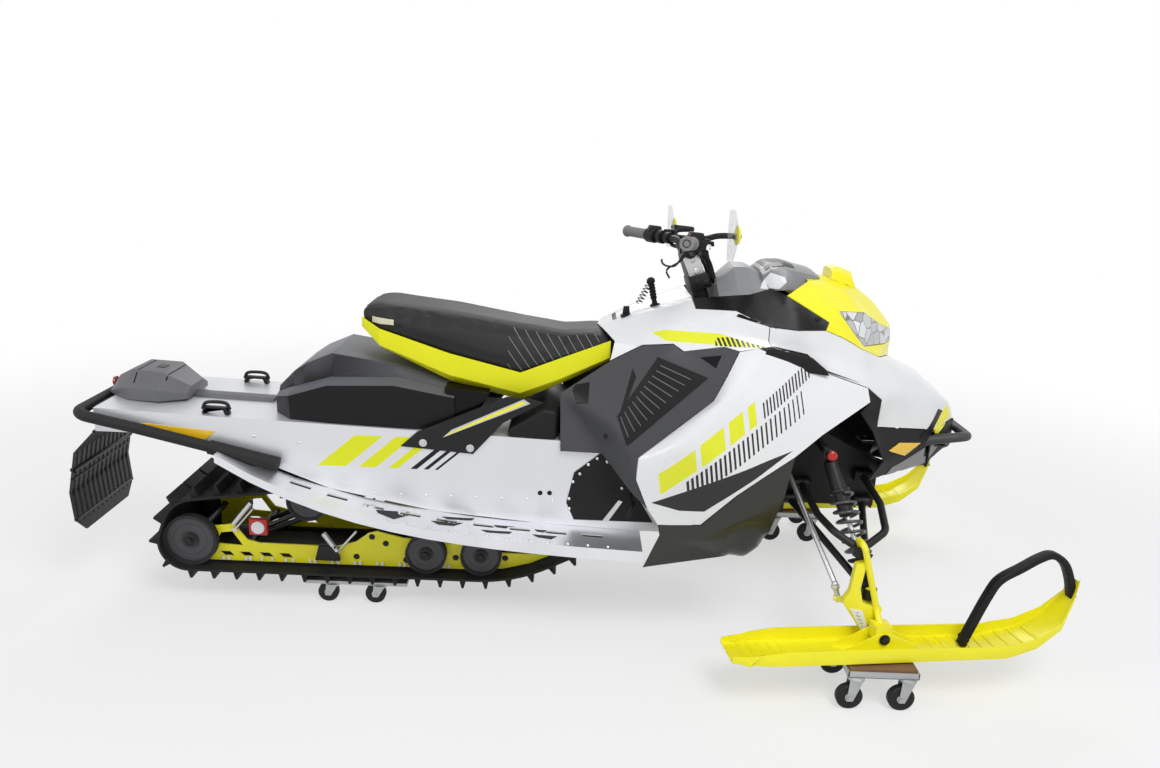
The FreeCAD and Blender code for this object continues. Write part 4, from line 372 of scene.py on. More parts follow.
FINISHES = (
    Finish("bare_alloy", (0.84, 0.85, 0.88), 0.36, metallic=0.9, grain=700),
    Finish("black_plastic", (0.010, 0.010, 0.011), 0.5, gloss=0.22),
    Finish("grey_plastic", (0.056, 0.057, 0.062), 0.5, gloss=0.3),
    Finish("rubber_sleeve", (0.012, 0.012, 0.012), 0.6, gloss=0.3),
    Finish("smoky_flap", (0.016, 0.017, 0.018), 0.35, gloss=0.3),
    Finish("gloss_black", (0.004, 0.004, 0.005), 0.26, depth=0.00005, gloss=0.16),
    Finish("seat_vinyl", (0.035, 0.036, 0.038), 0.6),
    Finish("yellow_plastic", (0.98, 0.89, 0.014), 0.3, coat=0.2, depth=0.00005, gloss=0.35),
    Finish("black_metal", (0.010, 0.010, 0.011), 0.4, gloss=0.3),
    Finish("white_panel", (0.80, 0.81, 0.83), 0.25, coat=0.3, depth=0.00003, gloss=0.35),
    Finish("clear_lens", (0.55, 0.60, 0.66), 0.06, coat=0.8, depth=0.00002),
    Finish("olive_plastic", (0.022, 0.022, 0.018), 0.22, coat=0.2, depth=0.00005, gloss=0.4),
    Finish("engine_alloy", (0.25, 0.25, 0.26), 0.45, metallic=0.7),
    Finish("shock_steel", (0.10, 0.10, 0.11), 0.35, metallic=0.6),
    Finish("bright_steel", (0.62, 0.62, 0.63), 0.3, metallic=0.9),
    Finish("yellow_metal", (0.84, 0.79, 0.015), 0.3, coat=0.2, depth=0.00005, gloss=0.35),
    Finish("track_rubber", (0.012, 0.012, 0.013), 0.7, grain=300, depth=0.0006, gloss=0.25),
    Finish("grip_rubber", (0.009, 0.009, 0.010), 0.5, gloss=0.2),
    Finish("worn_grip", (0.22, 0.22, 0.225), 0.75, grain=500, depth=0.0004, shade=0.15),
    Finish("pale_print", (0.13, 0.135, 0.14), 0.5),
    Finish("satin_grey", (0.22, 0.225, 0.235), 0.4, coat=0.2),
    Finish("amber_reflector", (0.95, 0.58, 0.006), 0.15, coat=0.8, grain=1400, depth=0.0006),
    Finish("mid_grey", (0.12, 0.122, 0.13), 0.5),
    Finish("red_lens", (0.30, 0.006, 0.006), 0.12, coat=0.8, grain=1200, depth=0.0005),
    Finish("red_cast", (0.52, 0.014, 0.012), 0.38, coat=0.2),
    Finish("cream_tab", (0.62, 0.60, 0.44), 0.6),
    Finish("grey_coil", (0.06, 0.062, 0.068), 0.32, coat=0.2, depth=0.00005),
    Finish("cast_lime", (0.95, 0.87, 0.018), 0.34, coat=0.2, grain=260, depth=0.0005),
    Finish("galvanised", (0.50, 0.51, 0.52), 0.42, metallic=0.6, grain=60, depth=0.0001, shade=0.16),
    Finish("plywood", (0.22, 0.115, 0.055), 0.6, grain=160, depth=0.0004, shade=0.28),
    Finish("caster_rubber", (0.010, 0.010, 0.011), 0.55, gloss=0.3),
    Finish("clear_shield", (0.62, 0.63, 0.62), 0.12, depth=0.00003, alpha=0.38),
)


@dataclass(frozen=True)
class Patch:
    """Flat coloured shape of a panel's decoration, convex in the machine's side view.

    Attributes:
        corners: Corners as (x, z) in metres, in order.
        colour: Colour of the shape.
        pitch: Distance between its stripes, 0 where it is plain.
        share: Painted share of each stripe.
        slope: Direction across the stripes in degrees from +X.
    """

    corners: Outline
    colour: Colour
    pitch: float = 0.0
    share: float = 0.5
    slope: float = 0.0

    def mask(self, x: Value, z: Value) -> Value:
        """One inside the shape, 0 outside.

        Args:
            x: Position along the machine.
            z: Height.

        Returns:
            The mask.
        """
        mid_x, mid_z = (sum(c[i] for c in self.corners) / len(self.corners) for i in (0, 1))
        mask = None
        for (ax, az), (bx, bz) in zip(self.corners, self.corners[1:] + self.corners[:1]):
            nx, nz = az - bz, bx - ax
            offset = nx * ax + nz * az
            if nx * mid_x + nz * mid_z < offset:
                nx, nz, offset = -nx, -nz, -offset
            side = (x * nx + z * nz) > offset
            mask = side if mask is None else mask * side
        if self.pitch:
            turn = math.radians(self.slope)
            across = x * math.cos(turn) + z * math.sin(turn)
            mask = mask * ((across % self.pitch) < self.pitch * self.share)
        return mask


@dataclass(frozen=True)
class Decorated:
    """Finish with a plain geometric decoration of flat patches.

    Attributes:
        base: Finish under the decoration.
        patches: Shapes, the last on top.
    """

    base: Finish
    patches: tuple[Patch, ...]

    def material(self, name: str) -> Material:
        """Build the material."""
        graph, base = Graph(name), self.base
        x, _, z = graph.place()
        cloud = graph.noise(7.0, 4.0, 0.6)
        colour = graph.mix(cloud, tuple(c * (1 - base.shade) for c in base.colour), base.colour)
        for patch in self.patches:
            colour = graph.mix(patch.mask(x, z), colour, patch.colour)
        return graph.surface(
            Base_Color=colour, Metallic=base.metallic,
            Roughness=base.roughness + (cloud - 0.5) * (2 * base.spread),
            Coat_Weight=base.coat, Specular_IOR_Level=base.gloss,
            Normal=graph.bump(graph.noise(base.grain, 2.0), base.depth))


class Kit:
    """Makes pieces, dresses them and hangs them on their bodies."""

    def __init__(self) -> None:
        """Build the materials of every slot."""
        self.finishes = {finish.name: finish for finish in FINISHES}
        self.materials = {name: finish.material() for name, finish in self.finishes.items()}
        self.around = Surroundings()

    def dress(self, thing: bpy.types.Object, look: Look) -> None:
        """Give an object one material, the look itself or the one of its name."""
        thing.data.materials.clear()
        thing.data.materials.append(self.materials[look] if isinstance(look, str) else look)

    def dress_frame(self) -> None:
        """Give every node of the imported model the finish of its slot."""
        for part in frame["record"]["subparts"]:
            self.dress(frame["nodes"][part["node"]], part["material_slot"])
            log.info("dressed %s", part["node"])

    def piece(self, name: str, mesh: bpy.types.Mesh, slot: str, body: str = "chassis",
              stands_for: Sequence[str] = (), look: Look = None) -> bpy.types.Object:
        """Add one piece.

        Args:
            name: Object name.
            mesh: Its mesh, in the machine's frame.
            slot: Material slot of the record.
            body: Body that it rides on.
            stands_for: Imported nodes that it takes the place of.
            look: Material other than the slot's own.

        Returns:
            The object.
        """
        made = bpy.data.objects.new(name, mesh)
        self.dress(made, look or slot)
        bpy.context.scene.collection.objects.link(made)
        if stands_for:
            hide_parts(*stands_for)
        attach(made, body)
        log.info("built %s", name)
        return made

    def form(self, name: str, bm: Form, slot: str, body: str = "chassis", stands_for: Sequence[str] = (),
             look: Look = None, angle: float = 35.0) -> bpy.types.Object:
        """Add one piece from a bmesh.

        Args:
            name: Object name.
            bm: The form, freed afterwards.
            slot: Material slot of the record.
            body: Body that it rides on.
            stands_for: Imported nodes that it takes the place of.
            look: Material other than the slot's own.
            angle: Edges sharper than this many degrees stay sharp.

        Returns:
            The object.
        """
        return self.piece(name, to_mesh(bm, name, angle), slot, body, stands_for, look)

    def bevel(self, node: str, width: float, slot: str, body: str = "chassis", look: Look = None,
              segments: int = 2) -> bpy.types.Object:
        """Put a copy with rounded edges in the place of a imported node.

        Args:
            node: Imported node.
            width: Rounding of its edges in metres.
            slot: Material slot of the record.
            body: Body that it rides on.
            look: Material other than the slot's own.
            segments: Cuts across each rounded edge.

        Returns:
            The object.
        """
        return self.form(node + "_edged", bevelled(node, width, segments), slot, body, (node,), look, 40.0)


def to_mesh(bm: Form, name: str, smooth_angle: float = 35.0) -> bpy.types.Mesh:
    """Turn a bmesh into a mesh with smooth shading up to an angle.

    Args:
        bm: The bmesh, freed afterwards.
        name: Mesh name.
        smooth_angle: Edges sharper than this many degrees stay sharp.

    Returns:
        The mesh.
    """
    bm.normal_update()
    limit = math.radians(smooth_angle)
    for edge in bm.edges:
        edge.smooth = len(edge.link_faces) == 2 and edge.calc_face_angle(0) < limit
    for face in bm.faces:
        face.smooth = True
    mesh = bpy.data.meshes.new(name)
    bm.to_mesh(mesh)
    bm.free()
    return mesh


def node_bmesh(node: str) -> Form:
    """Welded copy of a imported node's mesh."""
    bm = bmesh.new()
    bm.from_mesh(frame["nodes"][node].data)
    bmesh.ops.remove_doubles(bm, verts=bm.verts, dist=1e-5)
    return bm


def bevelled(node: str, width: float, segments: int = 2) -> Form:
    """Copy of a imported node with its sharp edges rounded.

    Args:
        node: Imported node.
        width: Bevel width in metres.
        segments: Cuts across the bevel.

    Returns:
        The bmesh.
    """
    bm = node_bmesh(node)
    bmesh.ops.dissolve_limit(bm, angle_limit=math.radians(1.0), verts=bm.verts, edges=bm.edges)
    bm.normal_update()
    limit = math.radians(25.0)
    sharp = [e for e in bm.edges if len(e.link_faces) == 2 and e.calc_face_angle(0) > limit]
    bmesh.ops.bevel(bm, geom=sharp, offset=width, segments=segments, profile=0.6, affect="EDGES",
                    clamp_overlap=True)
    return bm


def refined(bm: Form, cell: float, passes: int) -> None:
    """Cut a sheet's long edges until its triangles are fine.

    Args:
        bm: The sheet.
        cell: Wanted edge length in metres.
        passes: Most passes made.
    """
    for _ in range(passes):
        long_edges = [e for e in bm.edges if e.calc_length() > cell * 1.5]
        if not long_edges:
            break
        bmesh.ops.subdivide_edges(bm, edges=long_edges, cuts=1)
        bmesh.ops.triangulate(bm, faces=[f for f in bm.faces if len(f.verts) > 3])


class Side(Enum):
    """Sides of the machine, by the way that they face along Y."""

    RIGHT = -1
    LEFT = 1

    @property
    def word(self) -> str:
        """Side's name in the names of pieces."""
        return self.name.lower()


SIDES = tuple(side.value for side in Side)


def skinned(bm: Form, rings: Sequence[Sequence[bmesh.types.BMVert]]) -> Form:
    """Close rings of points into a form with flat ends."""
    for low, high in zip(rings, rings[1:]):
        for k, corner in enumerate(low):
            after = (k + 1) % len(low)
            bm.faces.new((corner, low[after], high[after], high[k]))
    bm.faces.new(rings[0][::-1])
    bm.faces.new(rings[-1])
    return bm


def lathe(profile: Outline, at: Point, axis: Point, facets: int = 32) -> Form:
    """Turned form about an axis.

    Args:
        profile: Pairs of distance along the axis and radius, in metres.
        at: Start of the axis.
        axis: Its direction.
        facets: Facets round it.

    Returns:
        The bmesh.
    """
    bm = bmesh.new()
    turn = Vector(axis).normalized().to_track_quat("Z", "Y").to_matrix()
    rings = [[bm.verts.new(Vector(at) + turn @ Vector((a, b, along))) for a, b in oval(radius, radius, facets)]
             for along, radius in profile]
    return skinned(bm, rings)


def smooth_run(points: Sequence[Point], steps: int = 6) -> list[Vector]:
    """Points on a smooth curve through the given ones.

    Args:
        points: Places that the curve passes.
        steps: Points made for each stretch.

    Returns:
        The finer row of points.
    """
    spots = [Vector(p) for p in points]
    ends = [2 * spots[0] - spots[1]] + spots + [2 * spots[-1] - spots[-2]]
    run = []
    for a, b, c, d in zip(ends, ends[1:], ends[2:], ends[3:]):
        for k in range(steps):
            t = k / steps
            run.append(0.5 * (2 * b + (c - a) * t + (2 * a - 5 * b + 4 * c - d) * t * t
                              + (3 * b - a - 3 * c + d) * t * t * t))
    return run + [spots[-1]]


def oval(wide: float, high: float, sides: int = 12, square: float = 1.0) -> list[Pair]:
    """Corners of an oval section.

    Args:
        wide: Half width.
        high: Half height.
        sides: Number of corners.
        square: 1 for an oval, less for a section with rounded corners.

    Returns:
        The corners as sideways and up.
    """
    def bent(share: float) -> float:
        """Share pushed out towards the corners."""
        return math.copysign(abs(share) ** square, share)
    turns = [2 * math.pi * k / sides for k in range(sides)]
    return [(wide * bent(math.cos(t)), high * bent(math.sin(t))) for t in turns]


def sweep(run: Sequence[Vector], section: Outline, up: Point = (0, 0, 1)) -> Form:
    """Form swept along a run of points.

    Args:
        run: Points of its middle line.
        section: Corners of its section, as sideways and up in metres.
        up: Direction kept upright.

    Returns:
        The bmesh.
    """
    bm = bmesh.new()
    rings = []
    for k, here in enumerate(run):
        ahead = (run[min(k + 1, len(run) - 1)] - run[max(k - 1, 0)]).normalized()
        side = ahead.cross(Vector(up)).normalized()
        over = side.cross(ahead)
        rings.append([bm.verts.new(here + side * a + over * b) for a, b in section])
    skinned(bm, rings)
    bmesh.ops.recalc_face_normals(bm, faces=bm.faces)
    return bm


def rod(points: Sequence[Point], radius: float, steps: int = 6, sides: int = 12) -> Form:
    """Round bar or sleeve along a smooth line."""
    run = smooth_run(points, steps) if len(points) > 2 else [Vector(p) for p in points]
    upright = abs((run[-1] - run[0]).normalized().z) >= 0.9
    return sweep(run, oval(radius, radius, sides), (0, 1, 0) if upright else (0, 0, 1))


def coil(top: Vector, foot: Vector, radius: float, wire: float, turns: float) -> Form:
    """Coil spring between two points."""
    ahead = (foot - top).normalized()
    side = ahead.cross(Vector((1, 0, 0))).normalized()
    over = side.cross(ahead)
    count = int(turns * 22)
    run = []
    for k in range(count + 1):
        angle, share = 2 * math.pi * turns * k / count, k / count
        around = side * (radius * math.cos(angle)) + over * (radius * math.sin(angle))
        run.append(top.lerp(foot, share) + around)
    return sweep(run, oval(wire, wire, 8), ahead)


def prism(outline: Outline, y_from: float, y_to: float, edge: float = 0.0015) -> Form:
    """Plate with an outline in the side view and rounded edges.

    Args:
        outline: Corners as (x, z) in metres.
        y_from: One face.
        y_to: Other face.
        edge: Rounding of the edges.

    Returns:
        The bmesh.
    """
    bm = bmesh.new()
    low, high = sorted((y_from, y_to))
    face = bm.faces.new([bm.verts.new((x, low, z)) for x, z in outline])
    grown = bmesh.ops.extrude_face_region(bm, geom=[face])
    lifted = [g for g in grown["geom"] if isinstance(g, bmesh.types.BMVert)]
    bmesh.ops.translate(bm, verts=lifted, vec=(0, high - low, 0))
    bmesh.ops.recalc_face_normals(bm, faces=bm.faces)
    bmesh.ops.bevel(bm, geom=list(bm.edges), offset=edge, segments=2, profile=0.6, affect="EDGES",
                    clamp_overlap=True)
    return bm


def block(x: Pair, y: Pair, z: Pair, edge: float = 0.0015) -> Form:
    """Straight block between limits on each axis, with rounded edges."""
    return prism(((x[0], z[0]), (x[1], z[0]), (x[1], z[1]), (x[0], z[1])), *y, edge)


def gathered(parts: Iterable[Form]) -> Form:
    """Join several forms into one."""
    whole = bmesh.new()
    for part in parts:
        spare = bpy.data.meshes.new("spare")
        part.to_mesh(spare)
        part.free()
        whole.from_mesh(spare)
        bpy.data.meshes.remove(spare)
    return whole


def paired(make: Callable[[int], Form]) -> Form:
    """Forms of the right side and the left side, joined."""
    return gathered(make(side) for side in SIDES)


def hex_bolt(at: Point, axis: Point, size: float = 0.0065) -> Form:
    """Bolt head on a washer.

    Args:
        at: Foot of the washer.
        axis: Direction that the head faces.
        size: Radius of the head.

    Returns:
        The bmesh.
    """
    washer = lathe(((-0.001, size * 1.5), (0.0012, size * 1.5), (0.0016, size * 1.4)), at, axis, 20)
    head = lathe(((0.001, size), (size * 0.75, size), (size * 0.9, size * 0.86)), at, axis, 6)
    return gathered((washer, head))


def about(pivot: Point, axis: Point, degrees: float) -> Matrix:
    """Turn about an axis through a point."""
    place = Matrix.Translation(Vector(pivot))
    return place @ Matrix.Rotation(math.radians(degrees), 4, Vector(axis).normalized()) @ place.inverted()


def moved(bm: Form, way: Matrix) -> Form:
    """Same form, moved by a matrix."""
    bmesh.ops.transform(bm, matrix=way, verts=bm.verts)
    return bm


class Surroundings:
    """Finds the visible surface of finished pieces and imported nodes."""

    def __init__(self) -> None:
        """Start with no surfaces."""
        self.trees: dict[tuple[str, ...], BVHTree] = {}

    def hit(self, names: tuple[str, ...], spot: Point, aim: Point) -> Optional[Vector]:
        """First point of a surface met from outside.

        Args:
            names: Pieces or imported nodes.
            spot: Point that the line passes.
            aim: Direction of looking.

        Returns:
            The point, or None where the line misses.
        """
        if names not in self.trees:
            whole = bmesh.new()
            for name in names:
                source = frame["nodes"][name] if name in frame["nodes"] else bpy.data.objects[name]
                whole.from_mesh(source.data)
            self.trees[names] = BVHTree.FromBMesh(whole)
            whole.free()
        return self.trees[names].ray_cast(Vector(spot) - Vector(aim) * 3.0, Vector(aim))[0]

    def inlay(self, outline: Outline, names: tuple[str, ...], side: int, lift: float = 0.0005,
              sheet: float = 0.0014, cell: float = 0.010) -> Form:
        """Thin plate lying on the panels.

        Args:
            outline: Corners as (x, z) in metres, or (x, y) seen from above.
            names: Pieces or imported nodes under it.
            side: -1 for the right side, 1 for the left side, 0 from above.
            lift: Height of its foot over the panel.
            sheet: Its thickness.
            cell: Edge length of its mesh.

        Returns:
            The bmesh.
        """
        aim = Vector((0, -side, 0)) if side else Vector((0, 0, -1))
        bm = bmesh.new()
        verts = [bm.verts.new((x, 0, z) if side else (x, z, 0)) for x, z in outline]
        bmesh.ops.triangulate(bm, faces=[bm.faces.new(verts)])
        refined(bm, cell, 5)
        missed = []
        for vert in bm.verts:
            found = self.hit(names, vert.co, aim)
            if found is None:
                missed.append(vert)
            else:
                vert.co = found - aim * lift
        bmesh.ops.delete(bm, geom=missed, context="VERTS")
        bm.normal_update()
        if sum(f.normal.dot(aim) * f.calc_area() for f in bm.faces) > 0:
            bmesh.ops.reverse_faces(bm, faces=bm.faces)
        bmesh.ops.solidify(bm, geom=bm.faces, thickness=sheet)
        bmesh.ops.recalc_face_normals(bm, faces=bm.faces)
        bmesh.ops.translate(bm, verts=bm.verts, vec=-aim * sheet * 0.5)
        return bm

    def laid(self, outlines: Iterable[Outline], names: tuple[str, ...], sides: Sequence[int] = SIDES,
             **sizes: float) -> Form:
        """Thin plates with several outlines, on both sides of the machine or seen from above.

        Args:
            outlines: Outlines of the plates.
            names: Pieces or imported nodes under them.
            sides: Sides that have them, 0 from above.
            sizes: Sizes of each plate.

        Returns:
            The bmesh.
        """
        return gathered(self.inlay(outline, names, side, **sizes) for outline in outlines for side in sides)

    def studs(self, spots: Iterable[Pair], names: tuple[str, ...], size: float, domed: bool = False) -> Form:
        """Bolts or rivets standing on the panels of both sides.

        Args:
            spots: Places as (x, z).
            names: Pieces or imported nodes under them.
            size: Radius of the heads.
            domed: Whether they are rivets with round heads.

        Returns:
            The bmesh.
        """
        heads = []
        for side in SIDES:
            for x, z in spots:
                found = self.hit(names, (x, 0, z), (0, -side, 0))
                if found is None:
                    continue
                if domed:
                    dome = ((-0.001, size), (size * 0.15, size), (size * 0.45, size * 0.7),
                            (size * 0.6, size * 0.2))
                    heads.append(lathe(dome, found, (0, side, 0), 14))
                else:
                    heads.append(hex_bolt(found, (0, side, 0), size))
        return gathered(heads)


@dataclass(frozen=True)
class Skin:
    """Moulded panel with softened creases, made from a packed panel's outer facets.

    Attributes:
        node: Packed panel.
        slot: Material slot.
        cell: Edge length of the finer mesh in metres.
        rounds: Passes that soften the creases.
        seam: How far the panel's edge stands back from its neighbours.
        sheet: Thickness of the moulding.
        rim: Facets narrower than this are its rim.
    """

    node: str
    slot: str
    cell: float = 0.016
    rounds: int = 3
    seam: float = 0.0014
    sheet: float = 0.0036
    rim: float = 0.0046

    @staticmethod
    def outwards(middle: Vector) -> Vector:
        """Direction from the machine's core to a point of its bodywork."""
        return middle - Vector((min(max(middle.x, 0.2), 0.9), 0, 0.7))

    def outer_faces(self, bm: Form) -> list[bmesh.types.BMFace]:
        """Facets of the panel's visible side, without its rim and its inner side."""
        seen = {f for f in bm.faces if 2 * f.calc_area() / max(e.calc_length() for e in f.edges) < self.rim}
        outer = []
        for first in bm.faces:
            if first in seen:
                continue
            island, stack = [], [first]
            seen.add(first)
            while stack:
                here = stack.pop()
                island.append(here)
                for face in [f for e in here.edges for f in e.link_faces]:
                    if face not in seen:
                        seen.add(face)
                        stack.append(face)
            if sum(f.calc_area() * f.normal.dot(self.outwards(f.calc_center_median())) for f in island) > 0:
                outer += island
        return outer

    def build(self) -> Form:
        """Soften the outer facets and give them thickness again."""
        bm = node_bmesh(self.node)
        bm.normal_update()
        keep = set(self.outer_faces(bm))
        bmesh.ops.delete(bm, geom=[f for f in bm.faces if f not in keep], context="FACES")
        refined(bm, self.cell, 6)
        border = {v for v in bm.verts if v.is_boundary}
        for _ in range(self.rounds):
            moved = {}
            for vert in bm.verts:
                if vert not in border:
                    ring = [e.other_vert(vert).co for e in vert.link_edges]
                    moved[vert] = vert.co.lerp(sum(ring, Vector()) / len(ring), 0.6)
            for vert, place in moved.items():
                vert.co = place
        self.stand_back(border)
        bmesh.ops.solidify(bm, geom=bm.faces, thickness=self.sheet)
        return bm

    def stand_back(self, border: Iterable[bmesh.types.BMVert]) -> None:
        """Pull the panel's edge in by the seam."""
        shifts = {}
        for vert in border:
            rim = [e.other_vert(vert).co for e in vert.link_edges if e.is_boundary]
            if len(rim) != 2:
                continue
            along = (rim[0] - rim[1]).normalized()
            middles = [f.calc_center_median() for f in vert.link_faces]
            inside = sum(middles, Vector()) / len(middles) - vert.co
            inside -= along * inside.dot(along)
            if inside.length > 1e-6:
                shifts[vert] = inside.normalized() * self.seam
        for vert, shift in shifts.items():
            vert.co += shift


@dataclass
class Cowl:
    """Bodywork from the dash to the nose.

    Attributes:
        black: Colour of printed black.
        lime: Colour of printed yellow.
        foot: Lower rear end of the side panel's slanted bars as (x, z).
        slope: Rise of the bars in degrees.
        lean: How far a bar leans for each metre of its height.
        skins: Panels that are made again as mouldings.
    """

    black: Colour = (0.012, 0.012, 0.013)
    lime: Colour = (0.76, 0.80, 0.02)
    foot: Pair = (0.425, 0.413)
    slope: float = 41.0
    lean: float = 0.62
    skins: tuple[Skin, ...] = (
        Skin("console_shroud", "white_panel"), Skin("upper_side_panels", "gloss_black"),
        Skin("headlight_pod", "yellow_plastic"), Skin("hood", "white_panel"),
        Skin("side_panels", "white_panel"), Skin("side_consoles", "grey_plastic"),
        Skin("belly_panels", "olive_plastic"),
        Skin("nose_fascia", "black_plastic"), Skin("headlight_lenses", "clear_lens", rounds=1, seam=0.0008))

    def slanted(self, low: float, high: float, runs: Sequence[Pair], colour: Colour) -> tuple[Patch, ...]:
        """Row of slanted blocks on the side panel.

        Args:
            low: Height of the row's foot over the bars' foot line.
            high: Height of its top.
            runs: Start and width of each block.
            colour: Their colour.

        Returns:
            The blocks.
        """
        rise = math.radians(self.slope)
        along, across = Vector((math.cos(rise), math.sin(rise))), Vector((-math.sin(rise), math.cos(rise)))
        lean = self.lean * (high - low)

        def block_at(start: float, width: float) -> Patch:
            """One block."""
            corners = ((start, low), (start + width, low), (start + width + lean, high), (start + lean, high))
            return Patch(tuple(tuple(Vector(self.foot) + along * u + across * w) for u, w in corners), colour)
        return tuple(block_at(*run) for run in runs)

    def side_patches(self) -> tuple[Patch, ...]:
        """Decoration of the side panels: slanted bars over a dark foot."""
        wide = ((-0.035, 0.13), (0.112, 0.085), (0.214, 0.052), (0.283, 0.026))
        thin = tuple((0.016 + 0.0165 * k, 0.0095 - 0.0002 * k) for k in range(26))
        fine = tuple((0.335 + 0.0120 * k, 0.0055) for k in range(15))
        wedge = Patch(((0.277, 0.474), (0.359, 0.455), (0.439, 0.458), (0.556, 0.560), (0.685, 0.666)),
                      self.black)
        return (self.slanted(0.148, 0.204, wide, self.lime) + self.slanted(0.084, 0.138, thin, self.black)
                + self.slanted(0.148, 0.186, fine, self.black) + (wedge,))

    def shroud_patches(self) -> tuple[Patch, ...]:
        """Decoration of the shroud: one tapered stripe with a dark edge."""
        return (
            Patch(((0.262, 0.946), (0.300, 0.930), (0.590, 0.934), (0.450, 0.962), (0.300, 0.958)), self.lime),
            Patch(((0.440, 0.930), (0.590, 0.934), (0.480, 0.956), (0.440, 0.950)), self.black, 0.012, 0.55,
                  25.0))

    @staticmethod
    def lens_painted_glints() -> Material:
        """Clear lamp glass over a cut reflector, with painted reflections: facets of several greys."""
        graph = Graph("lens_painted_glints")
        place = {"Vector": graph.node("TexCoord").outputs["Object"], "Scale": 24.0}
        # Painted reflections: each facet gets a grey at random, from dark to near white, with thin dark seams
        # between them.
        glint_tone = graph.value(graph.node("TexVoronoi", inputs=place).outputs["Color"])
        edges = graph.node("TexVoronoi", {"feature": "DISTANCE_TO_EDGE"}, place)
        facet = glint_tone * (graph.value(edges.outputs["Distance"]) > 0.035)
        colour = graph.mix(facet, (0.16, 0.17, 0.18), (0.93, 0.95, 0.97))
        return graph.surface(Base_Color=colour, Roughness=0.08,
                             Coat_Weight=0.8)

    def build(self, kit: Kit) -> None:
        """Build and dress every panel."""
        white = kit.finishes["white_panel"]
        dressed = {
            "headlight_lenses": self.lens_painted_glints(),
            "side_panels": Decorated(white, self.side_patches()).material("side_panel_print"),
            "console_shroud": Decorated(white, self.shroud_patches()).material("shroud_print"),
        }
        for skin in self.skins:
            name = skin.node + "_moulded"
            kit.piece(name, to_mesh(skin.build(), name, 50.0), skin.slot, stands_for=(skin.node,),
                      look=dressed.get(skin.node))


@dataclass
class CowlTrim:
    """Openings and recesses drawn as dark sheets of painted shade, pads, reflectors and bolts of the bodywork,
    with outlines as (x, z).

    Attributes:
        skins: Pieces that the trim lies on.
        pad: Corners of the ribbed knee pad: top, front, foot and rear.
        pad_ribs: Number of ribs on it.
        pockets: Recesses of the bodywork, drawn as dark sheets of painted shade.
        slot: Air slot along the hood's lower edge, drawn as a dark sheet of painted shade.
        liner: Plate that closes the slot from inside.
        reflector: Amber reflector of the nose.
        nose_plate: Plate under the reflector.
        bar: Dark bar of the nose.
        band: Bright band ahead of the bar.
        bolts: Places of the bolts.
    """

    skins: tuple[str, ...] = tuple(skin.node + "_moulded" for skin in Cowl.skins[:-1])
    pad: Outline = ((0.278, 0.887), (0.422, 0.842), (0.198, 0.634), (0.168, 0.708))
    pad_ribs: int = 11
    pockets: tuple[Outline, ...] = (
        ((0.030, 0.766), (0.085, 0.783), (0.082, 0.725), (0.047, 0.720)),
        ((0.171, 0.698), (0.209, 0.842), (0.219, 0.822), (0.179, 0.702)),
        ((0.398, 0.895), (0.458, 0.906), (0.443, 0.870)),
        ((0.496, 1.014), (0.609, 0.988), (0.603, 0.998), (0.503, 1.022)))
    slot: Outline = ((0.578, 0.934), (0.590, 0.942), (0.704, 0.920), (0.725, 0.903), (0.752, 0.879),
                     (0.866, 0.842), (0.755, 0.873), (0.709, 0.890))
    liner: Outline = ((0.570, 0.905), (0.585, 0.934), (0.600, 0.937), (0.715, 0.914), (0.757, 0.881),
                      (0.768, 0.863), (0.720, 0.868), (0.600, 0.880))
    reflector: Outline = ((0.992, 0.624), (1.028, 0.645), (1.108, 0.633), (1.055, 0.598))
    nose_plate: Outline = ((1.020, 0.556), (1.140, 0.616), (1.196, 0.610), (1.150, 0.552), (1.000, 0.500))
    bar: Outline = ((1.180, 0.722), (1.200, 0.712), (1.128, 0.647), (1.103, 0.649))
    band: Outline = ((1.203, 0.712), (1.225, 0.722), (1.243, 0.682), (1.167, 0.645), (1.134, 0.647))
    bolts: Outline = ((0.731, 1.015), (0.402, 1.048), (0.060, 0.560), (0.140, 0.640))

    def rib_lines(self) -> list[Outline]:
        """Raised lines across the knee pad."""
        lines = []
        top, front, foot, rear = (Vector(corner) for corner in self.pad)
        width = Vector((0.0006, 0.0011))
        for k in range(self.pad_ribs):
            share = (k + 0.6) / (self.pad_ribs + 0.6)
            low, high = rear.lerp(top, share), foot.lerp(front, share)
            inset = (high - low) * 0.12
            a, b = low + inset, high - inset * 1.8
            lines.append((a - width, b - width, b + width, a + width))
        return lines

    def build(self, kit: Kit) -> None:
        """Build the trim on both sides."""
        def laid(name: str, outlines: Iterable[Outline], slot: str, look: Look = None, **sizes: float) -> None:
            """Lay plates on the bodywork as one piece."""
            kit.form(name, kit.around.laid(outlines, self.skins, **sizes), slot, look=look)

        # Dark sheets on the panels: painted shade of the recesses and of the hood's air slot.
        laid("cowl_recess_shade", self.pockets, "gloss_black", sheet=0.0008)
        kit.form("hood_slot_shade", kit.around.laid((self.slot,), ("hood_moulded",), sheet=0.0008), "gloss_black")
        liners = paired(lambda side: prism(self.liner, side * 0.300, side * 0.304))
        kit.form("slot_liners", liners, "black_plastic")
        laid("knee_pads", (self.pad,), "grip_rubber", sheet=0.004)
        laid("knee_pad_ribs", self.rib_lines(), "grey_plastic", "pale_print", lift=0.0035, sheet=0.0016)
        laid("nose_reflectors", (self.reflector,), "yellow_plastic", "amber_reflector", sheet=0.005)
        laid("nose_plates", (self.nose_plate,), "grey_plastic", "satin_grey", sheet=0.004)
        laid("nose_bars", (self.bar,), "gloss_black", sheet=0.003)
        laid("nose_bands", (self.band,), "yellow_plastic", sheet=0.002)
        kit.form("cowl_bolts", kit.around.studs(self.bolts, self.skins, 0.0062), "black_metal")


